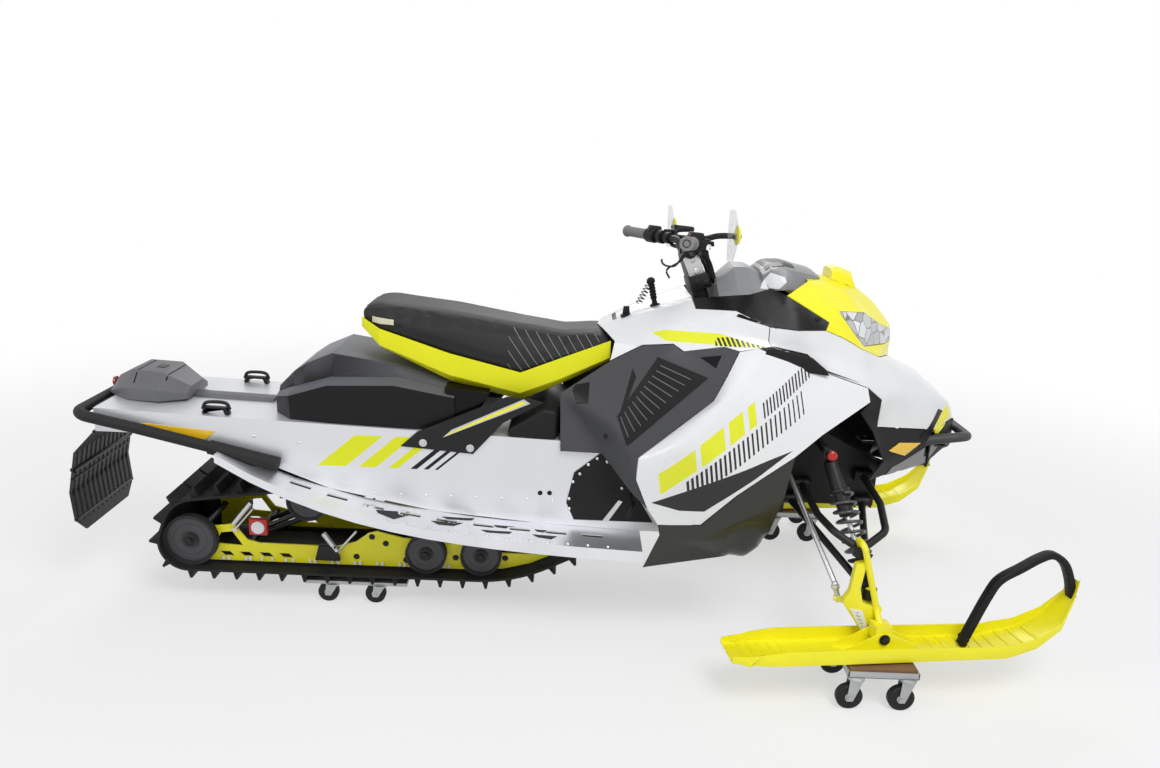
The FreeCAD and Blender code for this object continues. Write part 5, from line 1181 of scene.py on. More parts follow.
@dataclass
class Dash:
    """Dash top, gauge, key switch and the stop switch's post.

    Attributes:
        post: Foot of the stop switch's post on the console's top.
        key: Place of the key switch.
        glass: Corners of the gauge's glass as (x, y).
        cheek: Pale trim at the gauge's sides as (x, z).
        slots: Starts of the console's slots along the machine, drawn as dark sheets of painted shade.
    """

    post: Point = (0.283, 0.0, 0.987)
    key: Point = (0.190, -0.062, 0.980)
    glass: Outline = ((0.600, -0.085), (0.600, 0.085), (0.690, 0.075), (0.690, -0.075))
    cheek: Outline = ((0.578, 1.083), (0.612, 1.126), (0.655, 1.114), (0.660, 1.100), (0.638, 1.080))
    slots: tuple[float, ...] = (0.150, 0.185)

    def build(self, kit: Kit) -> None:
        """Build the pieces of the dash."""
        kit.bevel("instrument_cluster", 0.004, "grey_plastic", look="satin_grey")
        there, shroud, gauge = kit.around, "console_shroud_moulded", "instrument_cluster_edged"
        base = there.hit((shroud, gauge), self.post, (0, 0, -1))
        profile = [(-0.004, 0.016), (0.004, 0.016), (0.007, 0.009), (0.020, 0.0075)]
        for k in range(5):
            profile += [(0.022 + 0.010 * k, 0.0105), (0.028 + 0.010 * k, 0.0105), (0.030 + 0.010 * k, 0.0075)]
        profile += [(0.074, 0.013), (0.084, 0.013), (0.090, 0.006)]
        post = lathe(profile, base, (-0.235, 0, 1), 24)
        tether = coil(base + Vector((-0.018, 0, 0.076)), base + Vector((-0.052, 0, 0.004)), 0.0095, 0.0016, 7)
        kit.form("stop_switch_post", gathered((post, tether)), "grip_rubber", angle=40)
        x, y, z = there.hit((shroud, gauge), self.key, (0, 0, -1))
        ring = lathe(((-0.003, 0.017), (0.004, 0.017), (0.006, 0.013), (0.006, 0.009), (0.003, 0.008)),
                     (x, y, z), (-0.1, 0, 1), 28)
        blade = prism(((x - 0.012, z + 0.002), (x + 0.012, z + 0.002), (x + 0.009, z + 0.030),
                       (x - 0.009, z + 0.030)), y - 0.003, y + 0.003)
        kit.form("key_switch", gathered((ring, blade)), "black_plastic", angle=40)
        kit.form("gauge_glass", there.laid((self.glass,), (gauge,), (0,), sheet=0.002), "gloss_black")
        kit.form("gauge_cheeks", there.laid((self.cheek,), (gauge,), sheet=0.002), "white_panel")
        # The console's slots are dark sheets laid on the shroud, painted shade of their openings.
        lines = [((x, -0.050), (x, 0.050), (x + 0.012, 0.050), (x + 0.012, -0.050)) for x in self.slots]
        kit.form("console_slot_shade", there.laid(lines, (shroud,), (0,), sheet=0.0008), "gloss_black")


@dataclass
class Tail:
    """Tunnel, tail cover, flap and rear box.

    Attributes:
        bars: Bright slanted bars on the tunnel's side as (start, width), in metres along it.
        thin: Black slanted bars beside them.
        foot: Height of the bars' foot.
        head: Height of their top.
        lean: How far their top stands ahead of their foot.
        side: Distance of the tunnel's side from the middle.
        strip: Reflector on the tunnel's side as (x, z).
        socket: Work light's opening in the tail cover as (x, y), drawn as a dark sheet of painted shade.
        seams: Places and half widths of the cover's seams.
        handle: Line of an anchor's handle as (x, z).
        box_nose: Side view of the rear box's nose as (x, z).
    """

    bars: Outline = ((-0.735, 0.085), (-0.610, 0.052), (-0.520, 0.030))
    thin: Outline = ((-0.452, 0.020), (-0.412, 0.015), (-0.378, 0.010))
    foot: float = 0.490
    head: float = 0.592
    lean: float = 0.115
    side: float = 0.205
    strip: Outline = ((-1.262, 0.603), (-1.040, 0.586), (-1.076, 0.558), (-1.235, 0.588))
    socket: Outline = ((-1.292, -0.016), (-1.292, 0.016), (-1.266, 0.016), (-1.266, -0.016))
    seams: Outline = ((-1.330, 0.100), (-1.236, 0.085))
    handle: Outline = ((-1.086, 0.648), (-1.076, 0.667), (-1.045, 0.671), (-1.014, 0.667), (-1.004, 0.648))
    box_nose: Outline = ((-0.350, 0.622), (-0.350, 0.752), (-0.215, 0.738), (-0.232, 0.700), (-0.318, 0.622))

    def tunnel_material(self) -> Material:
        """Bare sheet with slanted painted bars."""
        patches = []
        for bars, colour in ((self.bars, (0.74, 0.78, 0.02)), (self.thin, (0.012, 0.012, 0.013))):
            for start, width in bars:
                top = start + self.lean
                patches.append(Patch(((start, self.foot), (start + width, self.foot), (top + width, self.head),
                                      (top, self.head)), colour))
        base = Finish("tunnel_sheet", (0.74, 0.75, 0.78), 0.38, metallic=0.55, grain=500, shade=0.05)
        return Decorated(base, tuple(patches)).material("tunnel_print")

    @staticmethod
    def box_material() -> Material:
        """Black moulding with a painted highlight on the faces that look up, lighter the more they face the
        sky.
        """
        graph = Graph("box_moulding_painted_highlight")
        split = graph.node("SeparateXYZ", inputs={0: graph.node("NewGeometry").outputs["Normal"]})
        # Painted highlight: the more a face looks up, the more it is lightened to a pale blue grey, in place of
        # the sky's light.
        painted_top_light = graph.math("MAXIMUM", graph.value(split.outputs[2]) - 0.25, 0.0)
        grain = graph.bump(graph.noise(900.0, 2.0), 0.0001)
        colour = graph.mix(painted_top_light, (0.006, 0.006, 0.007), (0.17, 0.175, 0.20))
        return graph.surface(Base_Color=colour, Roughness=0.4,
                             Specular_IOR_Level=0.22, Normal=grain)

    def build(self, kit: Kit) -> None:
        """Dress the tunnel and build its fittings."""
        there, box = kit.around, self.box_material()
        kit.dress(frame["nodes"]["tunnel"], self.tunnel_material())
        kit.bevel("tail_cover", 0.006, "grey_plastic", look="mid_grey")
        kit.bevel("rear_box_base", 0.007, "gloss_black", look=box)
        kit.bevel("rear_box_lid", 0.008, "gloss_black", look=box)
        kit.bevel("centre_strip", 0.003, "grey_plastic", look="mid_grey")
        kit.bevel("cargo_anchors", 0.004, "black_plastic")
        plug = ((0, 0.0075), (0.0012, 0.0075), (0.0014, 0.0060))
        plugs = [lathe(plug, (x, side * self.side, z), (0, side, 0), 20)
                 for side in SIDES for x, z in ((-0.052, 0.428), (-0.023, 0.429))]
        kit.form("tunnel_plugs", gathered(plugs), "black_plastic")
        rivets = [(-1.180, 0.590), (-0.925, 0.575), (-0.790, 0.560)]
        rivets += [(x / 1000, 0.404) for x in range(-560, 220, 78)]
        kit.form("tunnel_rivets", there.studs(rivets, ("tunnel",), 0.0042, True), "bright_steel")
        kit.form("tail_reflectors", there.laid((self.strip,), ("tunnel",), sheet=0.003), "yellow_plastic",
                 look="amber_reflector")
        self.flap(kit)
        cover = ("tail_cover_edged",)
        # The work light's opening is a dark sheet on the cover, painted shade of the hollow.
        kit.form("tail_socket_shade", there.laid((self.socket,), cover, (0,), sheet=0.002), "gloss_black")
        lamp = lathe(((-0.004, 0.016), (0.004, 0.015), (0.007, 0.010)), (-1.4345, 0.0, 0.672), (-1, 0, 0), 24)
        kit.form("tail_light_lens", lamp, "gloss_black", look="red_lens")
        seams = [((x, -half), (x, half), (x + 0.004, half), (x + 0.004, -half)) for x, half in self.seams]
        kit.form("tail_cover_seams", there.laid(seams, cover, (0,), sheet=0.001), "black_plastic")
        handles = paired(lambda side: rod([(x, side * 0.178, z) for x, z in self.handle], 0.0055))
        kit.form("anchor_handles", handles, "black_metal")
        kit.form("box_nose", prism(self.box_nose, -0.192, 0.192, 0.006), "gloss_black")

    @staticmethod
    def flap(kit: Kit) -> None:
        """Upright ribs and crossbars on both faces of the snow flap."""
        parts = []

        def rib(places: Iterable[Pair], way: int, section: Outline, up: Point) -> None:
            """Bar along the flap's face through places as (y, z)."""
            spots = [kit.around.hit(("snow_flap",), (-1.45, y, z), (way, 0, 0)) for y, z in places]
            run = [spot for spot in spots if spot is not None]
            if len(run) > 2:
                parts.append(sweep(run, section, up))

        for way in (1, -1):
            for k in range(-6, 7):
                rib([(0.028 * k, 0.610 - 0.03 * step) for step in range(13)], way, oval(0.0026, 0.0026, 8),
                    (0, 1, 0))
            for z, radius in ((0.560, 0.004), (0.430, 0.008), (0.400, 0.004), (0.262, 0.005)):
                rib([(y / 100, z) for y in range(-18, 19, 2)], way, oval(radius, radius, 10), (0, 0, 1))
        kit.form("flap_ribs", gathered(parts), "smoky_flap")


@dataclass
class Saddle:
    """Seat with its padded cushion, lower band and struts.

    Attributes:
        voxel: Edge length of the cloth's mesh in metres.
        rise: Farthest that the padding swells.
        pressure: Air pressure of the padding.
        frames: Steps of the simulation.
        stripe: Bright stripe on a strut as (x, z).
        rim: Bright rim round the stripe.
        tab: Blank tab on the cushion's side.
    """

    voxel: float = 0.007
    rise: float = 0.006
    pressure: float = 4.0
    frames: int = 14
    stripe: Outline = ((-0.345, 0.603), (-0.325, 0.617), (-0.115, 0.722), (-0.102, 0.717))
    rim: Outline = ((-0.352, 0.598), (-0.325, 0.624), (-0.110, 0.729), (-0.090, 0.716))
    tab: Outline = ((-0.575, 0.930), (-0.508, 0.926), (-0.508, 0.942), (-0.575, 0.948))

    def padded(self) -> bpy.types.Mesh:
        """Cushion swelled like padding under its cover."""
        core = bpy.data.objects.new("cushion_core", to_mesh(node_bmesh("seat_cushion"), "cushion_core"))
        bpy.context.scene.collection.objects.link(core)
        remesh = core.modifiers.new("even", "REMESH")
        remesh.mode = "VOXEL"
        remesh.voxel_size = self.voxel
        core.modifiers.new("soft", "SMOOTH").iterations = 3
        start = self.taken(core)
        core.modifiers.clear()
        core.data = start.copy()
        self.swell(core, start)
        bpy.data.objects.remove(core)
        return start

    def swell(self, core: bpy.types.Object, start: bpy.types.Mesh) -> None:
        """Blow up the cushion as cloth and move its mesh's points there.

        Args:
            core: Cushion that the simulation works on.
            start: Mesh that is moved, each point by the rise at most.
        """
        settings = core.modifiers.new("padding", "CLOTH").settings
        settings.use_pressure = True
        settings.uniform_pressure_force = self.pressure
        settings.effector_weights.gravity = 0.0
        settings.tension_stiffness = 40
        settings.quality = 3
        scene = bpy.context.scene
        for number in range(1, self.frames + 1):
            scene.frame_set(number)
        swelled = self.taken(core)
        core.modifiers.clear()
        scene.frame_set(1)
        for before, after in zip(start.vertices, swelled.vertices):
            shift = after.co - before.co
            if shift.length > self.rise:
                shift = shift.normalized() * self.rise
            before.co = before.co + shift

    @staticmethod
    def taken(thing: bpy.types.Object) -> bpy.types.Mesh:
        """Mesh of an object as its modifiers leave it."""
        graph = bpy.context.evaluated_depsgraph_get()
        return bpy.data.meshes.new_from_object(thing.evaluated_get(graph))

    @staticmethod
    def vinyl() -> Material:
        """Charcoal vinyl with fine grain, pale stitched lines on its flanks and a darker side."""
        graph = Graph("seat_cover")
        x, y, z = graph.place()
        grain, cloud = graph.noise(650.0, 3.0), graph.noise(9.0, 4.0, 0.6)
        flank = abs(y) > 0.098
        step = (x * 0.80 + z * 0.60) % 0.024
        thread = (step < 0.0015) * ((x > -0.165) * (x < 0.110)) * flank
        seam = abs(abs(y) - 0.078 - (x + 0.60) * -0.018) < 0.0013
        top = graph.mix(cloud, (0.022, 0.022, 0.024), (0.040, 0.041, 0.044))
        colour = graph.mix(flank, top, graph.mix(cloud, (0.008, 0.008, 0.009), (0.014, 0.014, 0.015)))
        colour = graph.mix(seam, colour, (0.012, 0.012, 0.013))
        colour = graph.mix(thread, colour, (0.30, 0.31, 0.28))
        height = grain * 0.35 - thread * 0.5 - seam * 1.6
        return graph.surface(Base_Color=colour, Roughness=0.58 + (cloud - 0.5) * 0.16, Specular_IOR_Level=0.3,
                             Normal=graph.bump(height, 0.0012))

    @staticmethod
    def band() -> Material:
        """Bright lower band of the cover."""
        graph = Graph("seat_band")
        cloud = graph.noise(8.0, 4.0, 0.6)
        colour = graph.mix(cloud, (0.74, 0.74, 0.010), (0.84, 0.84, 0.015))
        return graph.surface(Base_Color=colour, Roughness=0.5 + (cloud - 0.5) * 0.1, Specular_IOR_Level=0.3,
                             Normal=graph.bump(graph.noise(650.0, 3.0), 0.0004))

    def build(self, kit: Kit) -> None:
        """Build the seat."""
        mesh = self.padded()
        for face in mesh.polygons:
            face.use_smooth = True
        cushion = kit.piece("seat_cushion_padded", mesh, "seat_vinyl", stands_for=("seat_cushion",),
                            look=self.vinyl())
        finer = cushion.modifiers.new("finer", "SUBSURF")
        finer.levels = finer.render_levels = 1
        kit.bevel("seat_skirt", 0.006, "yellow_plastic", look=self.band(), segments=3)
        kit.bevel("seat_struts", 0.003, "black_metal")
        kit.bevel("fuel_tank", 0.010, "black_plastic", segments=3)
        there, struts = kit.around, ("seat_struts_edged",)
        kit.form("strut_rims", there.laid((self.rim,), struts, sheet=0.001), "bright_steel")
        stripes = there.laid((self.stripe,), struts, lift=0.001, sheet=0.0016)
        kit.form("strut_stripes", stripes, "yellow_plastic")
        kit.form("strut_bolts", there.studs(((-0.412, 0.578), (-0.269, 0.567)), struts, 0.008), "bright_steel")
        kit.form("seat_tabs", there.laid((self.tab,), ("seat_cushion_padded",), sheet=0.0015), "white_panel",
                 look="cream_tab")


@dataclass
class TrackFittings:
    """Wheels' rubber, clips, clamp blocks and rods of the track's suspension.

    Attributes:
        wheels: Wheel centres and radii as (x, z, radius).
        clips: Places of the guide clips along the belt.
        bolts: Bolts of the rails as (x, z).
        inner: Distance of the clamps' inner face from the middle.
        outer: Distance of their outer face.
    """

    wheels: tuple[Point, ...] = (
        (-1.163, 0.203, 0.085), (-0.237, 0.184, 0.066), (-0.413, 0.184, 0.066), (-0.802, 0.327, 0.066))
    clips: tuple[float, ...] = (
        -1.069, -1.051, -0.996, -0.982, -0.945, -0.912, -0.867, -0.844, -0.790, -0.772, -0.718, -0.700, -0.645,
        -0.628, -0.573, -0.556, -0.500, -0.484, -0.428, -0.412, -0.356, -0.340)
    bolts: Outline = ((-0.589, 0.226), (-0.545, 0.205), (-0.320, 0.165), (-0.160, 0.170), (-1.120, 0.215),
                      (-0.480, 0.150), (-0.640, 0.155))
    inner: float = 0.1405
    outer: float = 0.158

    def wheel_material(self) -> Material:
        """Dark discs with darker hubs and a rubber ring."""
        graph = Graph("wheel_discs")
        x, _, z = graph.place()
        rubber = hub = web = 0.0
        for wx, wz, radius in self.wheels:
            dx, dz = x - wx, z - wz
            distance = graph.math("SQRT", dx * dx + dz * dz)
            rubber = rubber + (distance > radius * 0.86) * (distance < radius * 1.1)
            hub = hub + (distance < radius * 0.36)
            web = web + (abs(distance - radius * 0.62) < 0.0016)
        cloud = graph.noise(22.0, 4.0, 0.6)
        colour = graph.mix(cloud, (0.034, 0.035, 0.038), (0.055, 0.057, 0.062))
        for mask, shade in ((hub, (0.022, 0.022, 0.024)), (rubber, (0.014, 0.014, 0.015)),
                            (web, (0.030, 0.030, 0.032))):
            colour = graph.mix(mask, colour, shade)
        return graph.surface(Base_Color=colour, Roughness=0.42 + rubber * 0.35 + (cloud - 0.5) * 0.1,
                             Normal=graph.bump(graph.noise(500.0, 2.0) - web, 0.0004))

    @staticmethod
    def belt_material() -> Material:
        """Black rubber with faint dusty patches at random and a fine grit in its roughness and bump."""
        graph = Graph("belt_rubber")
        cloud, grit = graph.noise(14.0, 5.0, 0.65), graph.noise(420.0, 3.0)
        colour = graph.mix(cloud, (0.008, 0.008, 0.009), (0.022, 0.021, 0.020))
        return graph.surface(Base_Color=colour, Specular_IOR_Level=0.25, Roughness=0.66 + (grit - 0.5) * 0.3,
                             Normal=graph.bump(grit, 0.0008))

    def hubs(self, kit: Kit) -> Form:
        """Stepped caps of the wheels."""
        cap = ((-0.002, 0.020), (0.0015, 0.020), (0.003, 0.017), (0.0035, 0.011), (0.009, 0.010),
               (0.010, 0.008))
        caps = []
        for x, z, _ in self.wheels:
            for side in SIDES:
                spot = kit.around.hit(("track_wheels",), (x, 0, z + 0.012), (0, -side, 0))
                caps.append(lathe(cap, (x, spot.y, z), (0, side, 0), 24))
        return gathered(caps)

    def build(self, kit: Kit) -> None:
        """Build the fittings."""
        kit.dress(frame["nodes"]["track_wheels"], self.wheel_material())
        kit.dress(frame["nodes"]["track"], self.belt_material())
        kit.form("wheel_hubs", self.hubs(kit), "black_metal", angle=30)
        clips = gathered(prism(((x - 0.0045, 0.1275), (x + 0.0045, 0.1275), (x + 0.0035, 0.1400),
                                (x - 0.0035, 0.1400)), side * 0.1412, side * 0.1445, 0.0006)
                         for x in self.clips for side in SIDES)
        kit.form("guide_clips", clips, "white_panel")
        across = {side: tuple(sorted((side * self.inner, side * self.outer))) for side in SIDES}
        kit.form("clamp_blocks", paired(lambda s: block((-0.976, -0.918), across[s], (0.224, 0.279), 0.004)),
                 "black_plastic", look="red_cast")
        ring = ((-0.001, 0.021), (0.0022, 0.021), (0.0026, 0.014), (0.0014, 0.0135))
        kit.form("clamp_rings", paired(lambda s: lathe(ring, (-0.947, s * self.outer, 0.251), (0, s, 0), 28)),
                 "white_panel", angle=30)
        runs = (((-1.026, 0.258), (-0.967, 0.334)), ((-0.700, 0.176), (-0.742, 0.236)))
        rods = gathered(rod([(x, side * 0.150, z) for x, z in run], 0.0085) for side in SIDES for run in runs)
        kit.form("limit_rods", rods, "bright_steel")
        foot = ((-0.757, 0.196), (-0.704, 0.196), (-0.690, 0.144), (-0.770, 0.144))
        kit.form("rod_brackets", paired(lambda s: prism(foot, *across[s], 0.003)), "black_metal")
        kit.form("rail_bolts", kit.around.studs(self.bolts, ("suspension_rails",), 0.0065), "black_metal")


@dataclass
class Footing:
    """Running boards and foot wells.

    Attributes:
        rivets: Rivets along the foot well's edge as (x, z).
        plate: Small bright plate in the foot well.
        openings: Snow openings of the left board as (x, y), drawn as dark sheets of painted shade.
    """

    rivets: Outline = ((0.119, 0.549), (0.093, 0.528), (0.068, 0.497), (0.048, 0.470), (0.038, 0.414),
                       (0.040, 0.381), (0.150, 0.540), (0.200, 0.455))
    plate: Outline = ((0.184, 0.462), (0.196, 0.458), (0.156, 0.392), (0.140, 0.396))
    openings: tuple[Outline, ...] = (
        ((-0.544, 0.275), (-0.446, 0.245), (-0.436, 0.256), (-0.483, 0.312), (-0.535, 0.292)),
        ((-0.350, 0.241), (-0.251, 0.222), (-0.259, 0.238), (-0.330, 0.252)),
        ((-0.376, 0.281), (-0.283, 0.265), (-0.306, 0.294), (-0.351, 0.298)),
        ((-0.197, 0.255), (-0.128, 0.250), (-0.137, 0.268), (-0.190, 0.266)),
        ((-0.223, 0.298), (-0.130, 0.289), (-0.138, 0.304), (-0.205, 0.310)),
        ((-0.063, 0.257), (0.010, 0.257), (0.005, 0.272), (-0.055, 0.270)),
        ((-0.069, 0.293), (0.006, 0.292), (-0.011, 0.315), (-0.052, 0.308)))

    def build(self, kit: Kit) -> None:
        """Build the boards' and wells' fittings."""
        there, boards = kit.around, ("running_boards",)
        kit.form("well_rivets", there.studs(self.rivets, ("foot_wells",), 0.0048, True), "bright_steel")
        kit.form("lever_plates", paired(lambda side: prism(self.plate, side * 0.318, side * 0.321, 0.001)),
                 "bright_steel")
        places = [(x / 1000, y, 0) for x in range(-980, 220, 60) for y in (-0.335, 0.335)]
        spots = (there.hit(boards, place, (0, 0, -1)) for place in places)
        spots = [spot for spot in spots if spot is not None]
        stud = ((-0.001, 0.005), (0.002, 0.0045), (0.0035, 0.003))
        kit.form("board_studs", gathered(lathe(stud, spot, (0, 0, 1), 10) for spot in spots), "bright_steel")
        # The snow openings are dark sheets laid on the boards, painted shade of the holes.
        outlines = [[(x, side * y) for x, y in opening] for opening in self.openings for side in SIDES]
        kit.form("board_opening_shade", there.laid(outlines, boards, (0,), sheet=0.001), "gloss_black")


@dataclass
class FrontEnd:
    """Springs, shocks, spindles and the skis' fittings.

    Attributes:
        ball: Lower joint of the right side.
        king: Direction of the steering axis.
        turn: Parked turn of the skis in degrees.
        ski_y: Distance of a ski from the machine's middle.
        ski_rear: Rear end of a ski that points straight ahead.
        ski_length: Its length.
        ski_floor: Height of its running face.
        tip_rise: Rise of its tip.
        tail_rises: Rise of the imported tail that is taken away, as shares of the ski's length and its
            tip's rise.
        hoop: Line of the hoop over the tip, as the same shares.
        shock_top: Upper eye of the left shock.
        shock_foot: Its lower eye.
        flank: Cast flank of the right spindle, as parked, as (x, z).
        cover: Pale cover plate on the flank.
        rod_ball: Ball joint of the steering rod on the right spindle's arm.
    """

    ball: Point = (0.905, -0.470, 0.272)
    king: Point = (-0.039, 0.0, 0.130)
    turn: float = 8.0
    ski_y: float = 0.538
    ski_rear: float = 0.431
    ski_length: float = 1.080
    ski_floor: float = 0.128
    tip_rise: float = 0.200
    tail_rises: Outline = ((0.0, 0.30), (0.06, 0.15), (0.18, 0.03), (0.34, 0.0))
    hoop: Outline = ((0.682, 0.05), (0.700, 0.30), (0.738, 0.80), (0.765, 1.04), (0.820, 1.21), (0.870, 1.36),
                     (0.905, 1.40), (0.942, 1.27), (0.965, 1.02), (0.978, 0.76))
    shock_top: Point = (0.806, 0.252, 0.612)
    shock_foot: Point = (0.898, 0.425, 0.323)
    flank: Outline = ((0.846, 0.375), (0.878, 0.386), (0.868, 0.301), (0.880, 0.256), (0.938, 0.243),
                      (0.930, 0.214), (0.914, 0.158), (0.896, 0.150), (0.852, 0.214), (0.826, 0.250),
                      (0.824, 0.266), (0.838, 0.291))
    cover: Outline = ((0.843, 0.240), (0.880, 0.236), (0.904, 0.176), (0.889, 0.166))
    rod_ball: Point = (0.8145, -0.4500, 0.276)

    def spin(self, side: int, way: int = 1) -> Matrix:
        """Turn of a ski that points straight ahead to its parked place.

        Args:
            side: -1 for the right ski, 1 for the left.
            way: 1 to turn it, -1 to turn it back.

        Returns:
            The turn.
        """
        x, y, z = self.ball
        return about((x, y * -side, z), self.king, way * self.turn)

    def on_ski(self, share: float, across: float, rise: float, side: int) -> Point:
        """Place on a straight ski, at shares of its length and tip rise."""
        return (self.ski_rear + share * self.ski_length, side * self.ski_y + across,
                self.ski_floor + rise * self.tip_rise)

    def ribs(self, kit: Kit, side: int) -> Form:
        """Cross ribs moulded on the ski's floor."""
        outlines = []
        for share in [0.075 + 0.028 * k for k in range(5)] + [0.600 + 0.034 * k for k in range(9)]:
            half = 0.056 * (0.86 if share < 0.10 else 1.0) * (0.72 if share > 0.84 else 1.0)
            corners = ((share, -half), (share + 0.007, -half), (share + 0.007, half), (share, half))
            outlines.append([(self.spin(side) @ Vector(self.on_ski(a, w, 0, side)))[:2] for a, w in corners])
        return kit.around.laid(outlines, ("ski_shell_" + Side(side).word,), (0,), lift=-0.0005, sheet=0.006,
                               cell=0.012)

    def shell(self, side: int) -> Form:
        """Ski with rounded edges, a low straight tail and a narrower tip."""
        bm = moved(bevelled("ski_" + Side(side).word, 0.0022), self.spin(side, -1))
        for share in (0.03, 0.06, 0.10, 0.14, 0.18, 0.20, 0.27, 0.34):
            bmesh.ops.bisect_plane(bm, geom=bm.verts[:] + bm.edges[:] + bm.faces[:], dist=1e-5,
                                   plane_no=(1, 0, 0),
                                   plane_co=(self.ski_rear + share * self.ski_length, 0, 0))
        shares = {vert: (vert.co.x - self.ski_rear) / self.ski_length for vert in bm.verts}
        lowest = min(vert.co.z for vert, share in shares.items() if abs(share - 0.34) < 0.004)
        for vert, share in shares.items():
            for (a, high), (b, low) in zip(self.tail_rises, self.tail_rises[1:]):
                if a - 0.01 <= share < b:
                    vert.co.z -= 0.88 * (high + (low - high) * (share - a) / (b - a)) * self.tip_rise
            if share < 0.34:
                vert.co.z = max(vert.co.z, lowest)
            vert.co.x += max(0.20 - share, 0) * 0.20 * self.ski_length
            vert.co.y += (side * self.ski_y - vert.co.y) * 3.2 * max(share - 0.90, 0)
            vert.co.x -= max(share - 0.93, 0) * 0.25 * self.ski_length
        return moved(bm, self.spin(side))

    def knuckle(self, kit: Kit, side: int) -> None:
        """Cast flank of a spindle with its pale cover plate, dark discs of painted shade for the cover's holes,
        and the rod's ball joint.
        """
        word = Side(side).word

        def placed(name: str, parts: Iterable[Form], slot: str, look: Look = None, angle: float = 35.0) -> None:
            """Add a form made for the parked right spindle on this side."""
            bm = gathered(parts)
            if side > 0:
                moved(bm, self.spin(1) @ Matrix.Diagonal((1, -1, 1, 1)) @ self.spin(-1, -1))
                bmesh.ops.reverse_faces(bm, faces=bm.faces)
            kit.form(name + word, bm, slot, word + "_ski", look=look, angle=angle)

        arm = rod(((0.842, -0.494, 0.258), (0.826, -0.4575, 0.241)), 0.0095)
        placed("knuckle_", (prism(self.flank, -0.508, -0.484, 0.004), arm), "yellow_metal", "cast_lime")
        placed("knuckle_cover_", (prism(self.cover, -0.5115, -0.507, 0.001),), "yellow_metal", "white_panel")
        # Holes in the cover plate, drawn as thin dark discs of painted shade.
        spots = [(0.866 + 0.006 * k, -0.5115, 0.224 - 0.011 * k + dz) for k in range(4)
                 for dz in (-0.004, 0.005)]
        hole_shade_discs = [lathe(((0.0, 0.0016), (0.0006, 0.0016)), spot, (0, -1, 0), 8) for spot in spots]
        placed("knuckle_hole_shade_", hole_shade_discs, "black_metal")
        stud = rod(((0.827, -0.4580, 0.234), (0.8155, -0.4510, 0.272)), 0.0082)
        arc = [math.radians(a) for a in range(176, 0, -16)]
        ball = lathe([(0.0125 * math.cos(a), 0.0125 * math.sin(a)) for a in arc], self.rod_ball, (0, 0, 1), 24)
        placed("rod_ball_", (stud, ball), "bright_steel", angle=40)

    def shock(self, side: int) -> tuple[Form, ...]:
        """Coil, body, rod, spring seat, adjuster and eyes of one shock."""
        top, foot = (Vector((x, side * y, z)) for x, y, z in (self.shock_top, self.shock_foot))
        way = foot - top
        seat = way.length - 0.036
        body = ((0.02, 0.014), (0.03, 0.022), (0.11, 0.023), (0.112, 0.030), (0.122, 0.030), (0.124, 0.023),
                (0.19, 0.022), (0.195, 0.014))
        cup = ((seat, 0.036), (seat + 0.006, 0.037), (seat + 0.012, 0.030), (seat + 0.016, 0.016))
        knob = ((0.0, 0.013), (0.004, 0.015), (0.014, 0.015), (0.017, 0.011))
        eye = ((-0.013, 0.009), (-0.012, 0.0145), (0.012, 0.0145), (0.013, 0.009))
        return (coil(top + way * 0.36, top + way * 0.90, 0.034, 0.0046, 6.5), lathe(body, top, way, 28),
                lathe(((0.18, 0.0075), (way.length - 0.015, 0.0075)), top, way, 16), lathe(cup, top, way, 28),
                lathe(knob, top + Vector((0.004, side * 0.024, 0.004)), (0, side, 0), 12),
                gathered(lathe(eye, spot, (0, 1, 0), 24) for spot in (top, foot)))

    def shocks(self, kit: Kit) -> None:
        """Both shocks, each kind of part as one piece."""
        rows = (("front_coils", "shock_steel", "grey_coil", 60), ("shock_bodies", "black_metal", None, 30),
                ("shock_rods", "bright_steel", None, 35), ("spring_seats", "black_plastic", None, 30),
                ("shock_knobs", "black_plastic", "red_cast", 30), ("shock_eyes", "shock_steel", None, 30))
        for (name, slot, look, angle), parts in zip(rows, zip(*(self.shock(side) for side in SIDES))):
            stands_for = ("front_shocks",) if name == "front_coils" else ()
            kit.form(name, gathered(parts), slot, stands_for=stands_for, look=look, angle=angle)

    def build(self, kit: Kit) -> None:
        """Build the front end."""
        self.shocks(kit)
        for side in SIDES:
            word = Side(side).word
            body = word + "_ski"
            kit.form("ski_shell_" + word, self.shell(side), "yellow_plastic", body, ("ski_" + word,), angle=30)
            kit.bevel("spindle_" + word, 0.0025, "yellow_metal", body, "cast_lime")
            self.knuckle(kit, side)
            kit.form("ski_ribs_" + word, self.ribs(kit, side), "yellow_plastic", body)
            run = smooth_run([self.on_ski(a, 0, b, side) for a, b in self.hoop])
            hoop = moved(sweep(run, oval(0.0150, 0.0105, 16, 0.45), (0.2, 0, 1)), self.spin(side))
            kit.form("ski_hoop_" + word, hoop, "grip_rubber", body, ("ski_loop_" + word,), angle=50)
            x, y, z = self.on_ski(0.684, 0, 0.15, side)
            bolts = [hex_bolt((0.918, y + flank * 0.030, 0.176), (0, flank, 0), 0.0105) for flank in SIDES]
            bolts += [hex_bolt((x + 0.004, y + flank * 0.0145, z), (0, flank, 0), 0.006) for flank in SIDES]
            kit.form("ski_bolts_" + word, moved(gathered(bolts), self.spin(side)), "black_metal", body)
            nut = ((0.012, 0.010), (0.018, 0.010), (0.020, 0.007))
            nuts = [lathe(nut, (x, side * 0.470, z), (0, side, 0), 6)
                    for x, z in ((0.905, 0.272), (0.866, 0.402))]
            kit.form("ball_nuts_" + word, gathered(nuts), "bright_steel")


